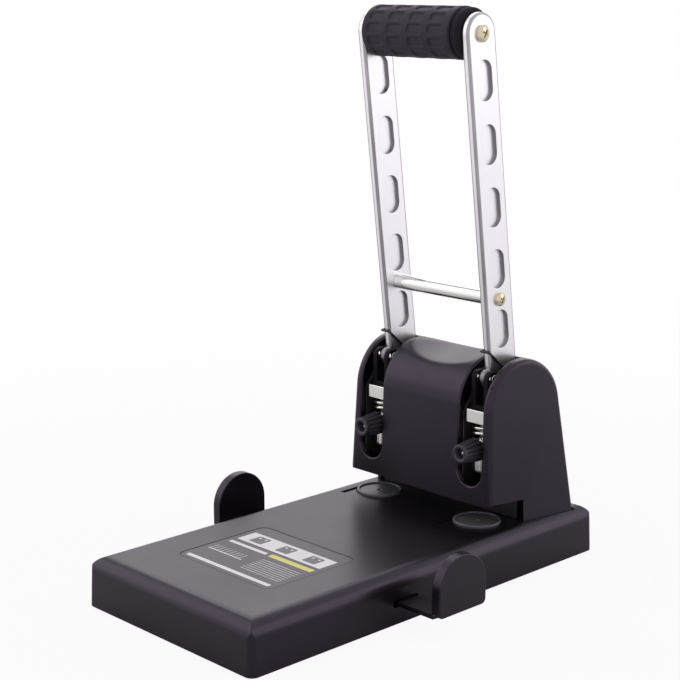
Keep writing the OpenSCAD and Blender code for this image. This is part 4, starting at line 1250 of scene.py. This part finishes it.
class PUNCH_OT_grip(Operator):
    """Build the dimpled rubber grip"""

    bl_idname = "punch.grip"
    bl_label = "Grip"

    def execute(self, context):
        size = sizes()
        half = (GRIP_HIGH.x - GRIP_LOW.x) / 2
        radius = (GRIP_HIGH.y - GRIP_LOW.y) / 2
        collar = half - 6.4 * MM
        mesh = lathe(self.outline(half, radius, collar), 180, "rubber_grip")
        mesh.transform(ALONG_X)
        smooth = mesh.attributes.new("collar", "FLOAT", "POINT")
        smooth.data.foreach_set("value", [float(vertex.co.x > collar) for vertex in mesh.vertices])
        thing = thing_of("rubber_grip", mesh)
        RULES["dimple"].shape(
            thing, Pitch=size.dimple_pitch, Rows=float(size.dimple_rows),
            Columns=float(size.dimple_columns), Length=11.0 * MM, Width=5.6 * MM,
            Depth=size.dimple_depth, Corner=1.9 * MM, Shift=(collar - half) / 2,
            Material=FINISH["rubber"],
        )
        thing.data.transform(AT_GRIP)
        piece(thing, FINISH["rubber"], "rubber", "grip")
        return {"FINISHED"}

    @staticmethod
    def outline(half, radius, collar):
        """Closed outline of the sleeve: its fine-stepped length, a groove, a smooth collar and its bore."""
        bore, edge, dip = 8.1 * MM, 2.6 * MM, 0.9 * MM
        groove, ease = 0.7 * MM, 0.6 * MM
        runs = 150
        low = -half + edge
        floor = radius - dip * 1.9
        top = radius - ease
        made = [(bore, -half), (radius - edge, -half)]
        made += arc((radius - edge, low), edge, -90, 0, 6)[1:]
        made += [(radius, low + (collar - low) * i / runs) for i in range(1, runs)]
        made += arc((radius - dip, collar - dip), dip, 0, 90, 4)
        made += [(floor, collar), (floor, collar + groove)]
        made += arc((top - ease, collar + groove + ease), ease, -90, 0, 4)
        made += arc((top - edge, half - edge), edge, 0, 90, 6)
        made += [(bore, half)]
        return made + made[:1]


def smooth_path(points, steps):
    """Catmull-Rom points through a path."""
    whole = [points[0] * 2 - points[1], *points, points[-1] * 2 - points[-2]]
    made = []
    for a, b, c, d in zip(whole, whole[1:], whole[2:], whole[3:]):
        for i in range(steps):
            t = i / steps
            made.append(0.5 * (
                2 * b + (c - a) * t + (2 * a - 5 * b + 4 * c - d) * t ** 2
                + (3 * b - a - 3 * c + d) * t ** 3
            ))
    made.append(points[-1])
    return made


class PUNCH_OT_springs(Operator):
    """Build the lever's return springs and the punches' clamp springs"""

    bl_idname = "punch.springs"
    bl_label = "Springs"

    def execute(self, context):
        size = sizes()
        for side, sign in SIDES.items():
            in_place = Matrix.Translation((sign * PUNCH_X, 0, 0)) @ IN_LEVER
            thing = self.wire("return_wire_" + side, self.return_path(), size.return_wire, "spring")
            thing.data.transform(in_place)
            piece(thing, FINISH["spring"], "spring_steel", "return_spring_" + side)
            thing = self.wire("clamp_wire_" + side, self.clamp_path(side), size.clamp_wire, "spring_bright")
            piece(thing, FINISH["spring_bright"], "spring_steel", "clamp_spring_" + side)
        return {"FINISHED"}

    @staticmethod
    def wire(name, points, across, finish):
        """Round wire through points."""
        thing = path_thing(name, points)
        return RULES["wire"].shape(thing, Radius=across / 2, Sides=12, Material=FINISH[finish])

    @staticmethod
    def return_path():
        """Coil about the axle, a leg, and a hook over the bar's front edge, in the lever's frame."""
        radius, pitch, turns, rings = 7.2 * MM, 1.65 * MM, 2, 28
        leg_turn = math.radians(50.2) - LEVER_LEAN
        start_x = 3.45 * MM
        hook_y = 12.45 * MM
        coil = []
        for i in range(turns * rings + 1):
            left = turns - i / rings
            turn = leg_turn - 2 * math.pi * left
            coil.append(Vector((start_x + pitch * left, radius * math.cos(turn), radius * math.sin(turn))))
        way = Vector((0, -math.sin(leg_turn), math.cos(leg_turn)))
        first = coil[-1]
        length = (first.y + hook_y) / math.sin(leg_turn)
        last = first + length * way
        bend = 0.85 * MM
        tail = 3.4 * MM
        far = -last.x
        hook = [
            first + way * length * 0.5,
            last - way * (bend / math.sin(leg_turn)),
            last - Vector((bend * 0.3, 0, 0)) - way * bend * 0.3,
            last - Vector((bend, 0, 0)),
            Vector((far + bend, last.y, last.z)),
            Vector((far + bend * 0.3, last.y + bend * 0.3, last.z)),
            Vector((far, last.y + bend, last.z)),
            Vector((far, last.y + tail, last.z)),
        ]
        return coil[:-1] + smooth_path([first] + hook, 4)

    @staticmethod
    def clamp_path(side):
        low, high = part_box("clamp_spring_" + side)
        wire = sizes().clamp_wire
        radius = 7.2 * MM
        start = math.radians(-65)
        turns, rings = 2.5, 32
        steps = int(turns * rings)
        rise = high.z - low.z - wire
        return [
            Vector((
                SIDES[side] * PUNCH_X + radius * math.cos(start + 2 * math.pi * i / rings),
                PUNCH_Y + radius * math.sin(start + 2 * math.pi * i / rings),
                low.z + wire / 2 + rise * i / steps,
            ))
            for i in range(steps + 1)
        ]


class PUNCH_OT_units(Operator):
    """Build the punch units: yokes, holders and hollow punches"""

    bl_idname = "punch.units"
    bl_label = "Punch units"

    def execute(self, context):
        for side in SIDES:
            softened("fork_yoke_" + side, "yoke_" + side, YOKE_EDGE, FINISH["yoke"], "yoke")
            softened("punch_holder_" + side, "holder_" + side, HOLDER_EDGE, FINISH["bright"], "bright", 3)
            softened("hollow_punch_" + side, "punch_" + side, PUNCH_EDGE, FINISH["rod"], "bright", 1)
        return {"FINISHED"}


class PUNCH_OT_knobs(Operator):
    """Build the ribbed knobs and their screws"""

    bl_idname = "punch.knobs"
    bl_label = "Knobs"

    def execute(self, context):
        ribs = sizes().knob_ribs
        for side, sign in SIDES.items():
            name = "ribbed_knob_" + side
            low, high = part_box("knob_" + side)
            length = high.y - low.y
            mesh = lathe(self.outline(length), ribs * 10, name)
            skin = mesh.attributes.new("skin", "FLOAT", "POINT")
            skin.data.foreach_set(
                "value", [float(vertex.co.xy.length > KNOB_WELL + 1.2 * MM) for vertex in mesh.vertices]
            )
            thing = thing_of(name, mesh)
            RULES["rib"].shape(
                thing, Ribs=float(ribs), Depth=0.95 * MM, Low=-1 * MM, High=length - 1.6 * MM,
                Blend=1.0 * MM, Material=FINISH["knob"],
            )
            seat = Vector((sign * PUNCH_X, high.y, KNOB.z))
            thing.data.transform(Matrix.Translation(seat) @ Matrix.Rotation(math.radians(90), 4, "X"))
            piece(thing, FINISH["knob"], "knob", "knob_" + side)
            softened(
                "knob_clamp_screw_" + side, "knob_screw_" + side, KNOB_SCREW_EDGE, FINISH["bright"],
                "bright", 4,
            )
        return {"FINISHED"}

    @staticmethod
    def outline(length):
        """Closed outline of a knob from its back to its front and home through its bore."""
        back, front, edge, bore = 7.2 * MM, 5.5 * MM, 0.8 * MM, 1.55 * MM
        floor = length * 0.7
        brim = 0.5 * MM
        runs = 24
        made = [(bore, 0), (back - edge, 0)] + arc((back - edge, edge), edge, -90, 0, 4)[1:]
        for i in range(1, runs):
            t = i / runs
            made.append((back + (front - back) * t, edge + (length - 2 * edge) * t))
        made += arc((front - edge, length - edge), edge, 0, 90, 5)
        made += [(KNOB_WELL + brim, length), (KNOB_WELL, length - brim)]
        made += [(KNOB_WELL, floor), (bore, floor)]
        return made + made[:1]


# Lamps of the stage: name, place, aim, width and power
LAMPS = (
    ("lamp_left", (-1.35, -0.9, 1.0), (0, 0, 0.1), 1.2, 3.5),
    ("lamp_back", (-1.0, 1.1, 1.4), (0, 0, 0.1), 1.4, 7),
    ("lamp_right", (1.25, 1.35, 0.8), (0, 0, 0.12), 1.2, 4),
)
CAMERA_LENS = 85.9
CAMERA_PLACE = Vector((0.6356, -0.6193, 0.3397))
CAMERA_TARGET = Vector((-0.0749, 0.0620, 0.1201))


def soft_lamp(name, place, aim, across, power):
    """Square area lamp at a place, aimed at a point."""
    lamp = bpy.data.lights.new(name, "AREA")
    lamp.shape = "SQUARE"
    lamp.size = across
    lamp.energy = power
    made = thing_of(name, lamp)
    made.location = place
    made.rotation_euler = (Vector(aim) - Vector(place)).to_track_quat("-Z", "Y").to_euler()


def sight(net):
    """Two masks: rays from the camera, and rays from mirrors and clear things."""
    rays = net.node("ShaderNodeLightPath").port.node
    camera, glossy, clear = (
        Sock(net, rays.outputs[key])
        for key in ("Is Camera Ray", "Is Glossy Ray", "Is Transmission Ray")
    )
    return camera, glossy.above(clear)


class PUNCH_OT_stage(Operator):
    """Set the floor, the light, the white surroundings and the camera"""

    bl_idname = "punch.stage"
    bl_label = "Stage"

    def execute(self, context):
        scene = context.scene
        scene.view_settings.view_transform = "Standard"
        self.floor()
        self.surroundings(scene)
        for lamp in LAMPS:
            soft_lamp(*lamp)
        self.camera(scene)
        return {"FINISHED"}

    @staticmethod
    def floor():
        work = bmesh.new()
        bmesh.ops.create_grid(work, x_segments=8, y_segments=8, size=6.0)
        thing = thing_of("stage_floor", mesh_of(work, "stage_floor"))
        made = Finish("floor_pale")
        net = made.net
        made.set(Base_Color=(0.8, 0.8, 0.8, 1), Roughness=0.9, Specular_IOR_Level=0.0)
        x, y, _ = net.split(net.places())
        far = net.step(net.maths("SQRT", x * x + y * y), 0.25, 0.9)
        camera, mirror = sight(net)
        white = camera * (0.93 + far * 0.07) + mirror * far
        glow = net.node("ShaderNodeEmission", values={"Color": (1, 1, 1, 1), "Strength": 1.0})
        blend = net.node("ShaderNodeMixShader", values={0: white, 1: made.surface, 2: glow})
        thing.data.materials.append(made.done(blend))

    @staticmethod
    def surroundings(scene):
        world = bpy.data.worlds.new("white_surroundings")
        world.use_nodes = True
        net = Net(world.node_tree)
        net.tree.nodes.clear()
        white = (1, 1, 1, 1)
        seen = net.node("ShaderNodeBackground", values={"Color": white, "Strength": 1.0})
        lit = net.node("ShaderNodeBackground", values={"Color": white, "Strength": 0.55})
        camera, mirror = sight(net)
        blend = net.node("ShaderNodeMixShader", values={0: camera.above(mirror), 1: lit, 2: seen})
        net.node("ShaderNodeOutputWorld", values={"Surface": blend})
        scene.world = world

    @staticmethod
    def camera(scene):
        data = bpy.data.cameras.new("camera")
        data.lens = CAMERA_LENS
        data.sensor_width = 36.0
        data.clip_start = 0.05
        thing = thing_of("camera", data)
        look = (CAMERA_TARGET - CAMERA_PLACE).to_track_quat("-Z", "Y").to_matrix().to_4x4()
        thing.matrix_world = Matrix.Translation(CAMERA_PLACE) @ look
        scene.camera = thing


class PUNCH_PT_build(Panel):
    """Lists the build steps in the sidebar"""

    bl_idname = "PUNCH_PT_build"
    bl_label = "Two-hole punch"
    bl_space_type = "VIEW_3D"
    bl_region_type = "UI"
    bl_category = "Punch"

    def draw(self, context):
        for step in STEPS:
            self.layout.operator(step.bl_idname)
        for group in (context.scene.punch_sizes, context.scene.punch_colours):
            for key in group.__annotations__:
                self.layout.prop(group, key)


STEPS = (
    PUNCH_OT_finishes, PUNCH_OT_base, PUNCH_OT_label, PUNCH_OT_discs, PUNCH_OT_guides,
    PUNCH_OT_tower, PUNCH_OT_frames, PUNCH_OT_lever, PUNCH_OT_grip, PUNCH_OT_springs,
    PUNCH_OT_units, PUNCH_OT_knobs, PUNCH_OT_stage,
)
CLASSES = (PunchSizes, PunchColours, *STEPS, PUNCH_PT_build)


def register():
    for each in CLASSES:
        bpy.utils.register_class(each)
    bpy.types.Scene.punch_sizes = PointerProperty(type=PunchSizes)
    bpy.types.Scene.punch_colours = PointerProperty(type=PunchColours)


def unregister():
    del bpy.types.Scene.punch_colours
    del bpy.types.Scene.punch_sizes
    for each in reversed(CLASSES):
        bpy.utils.unregister_class(each)


def main():
    register()
    for step in STEPS:
        group, name = step.bl_idname.split(".")
        getattr(getattr(bpy.ops, group), name)()
    bpy.context.view_layer.update()


if __name__ == "__main__":
    main()
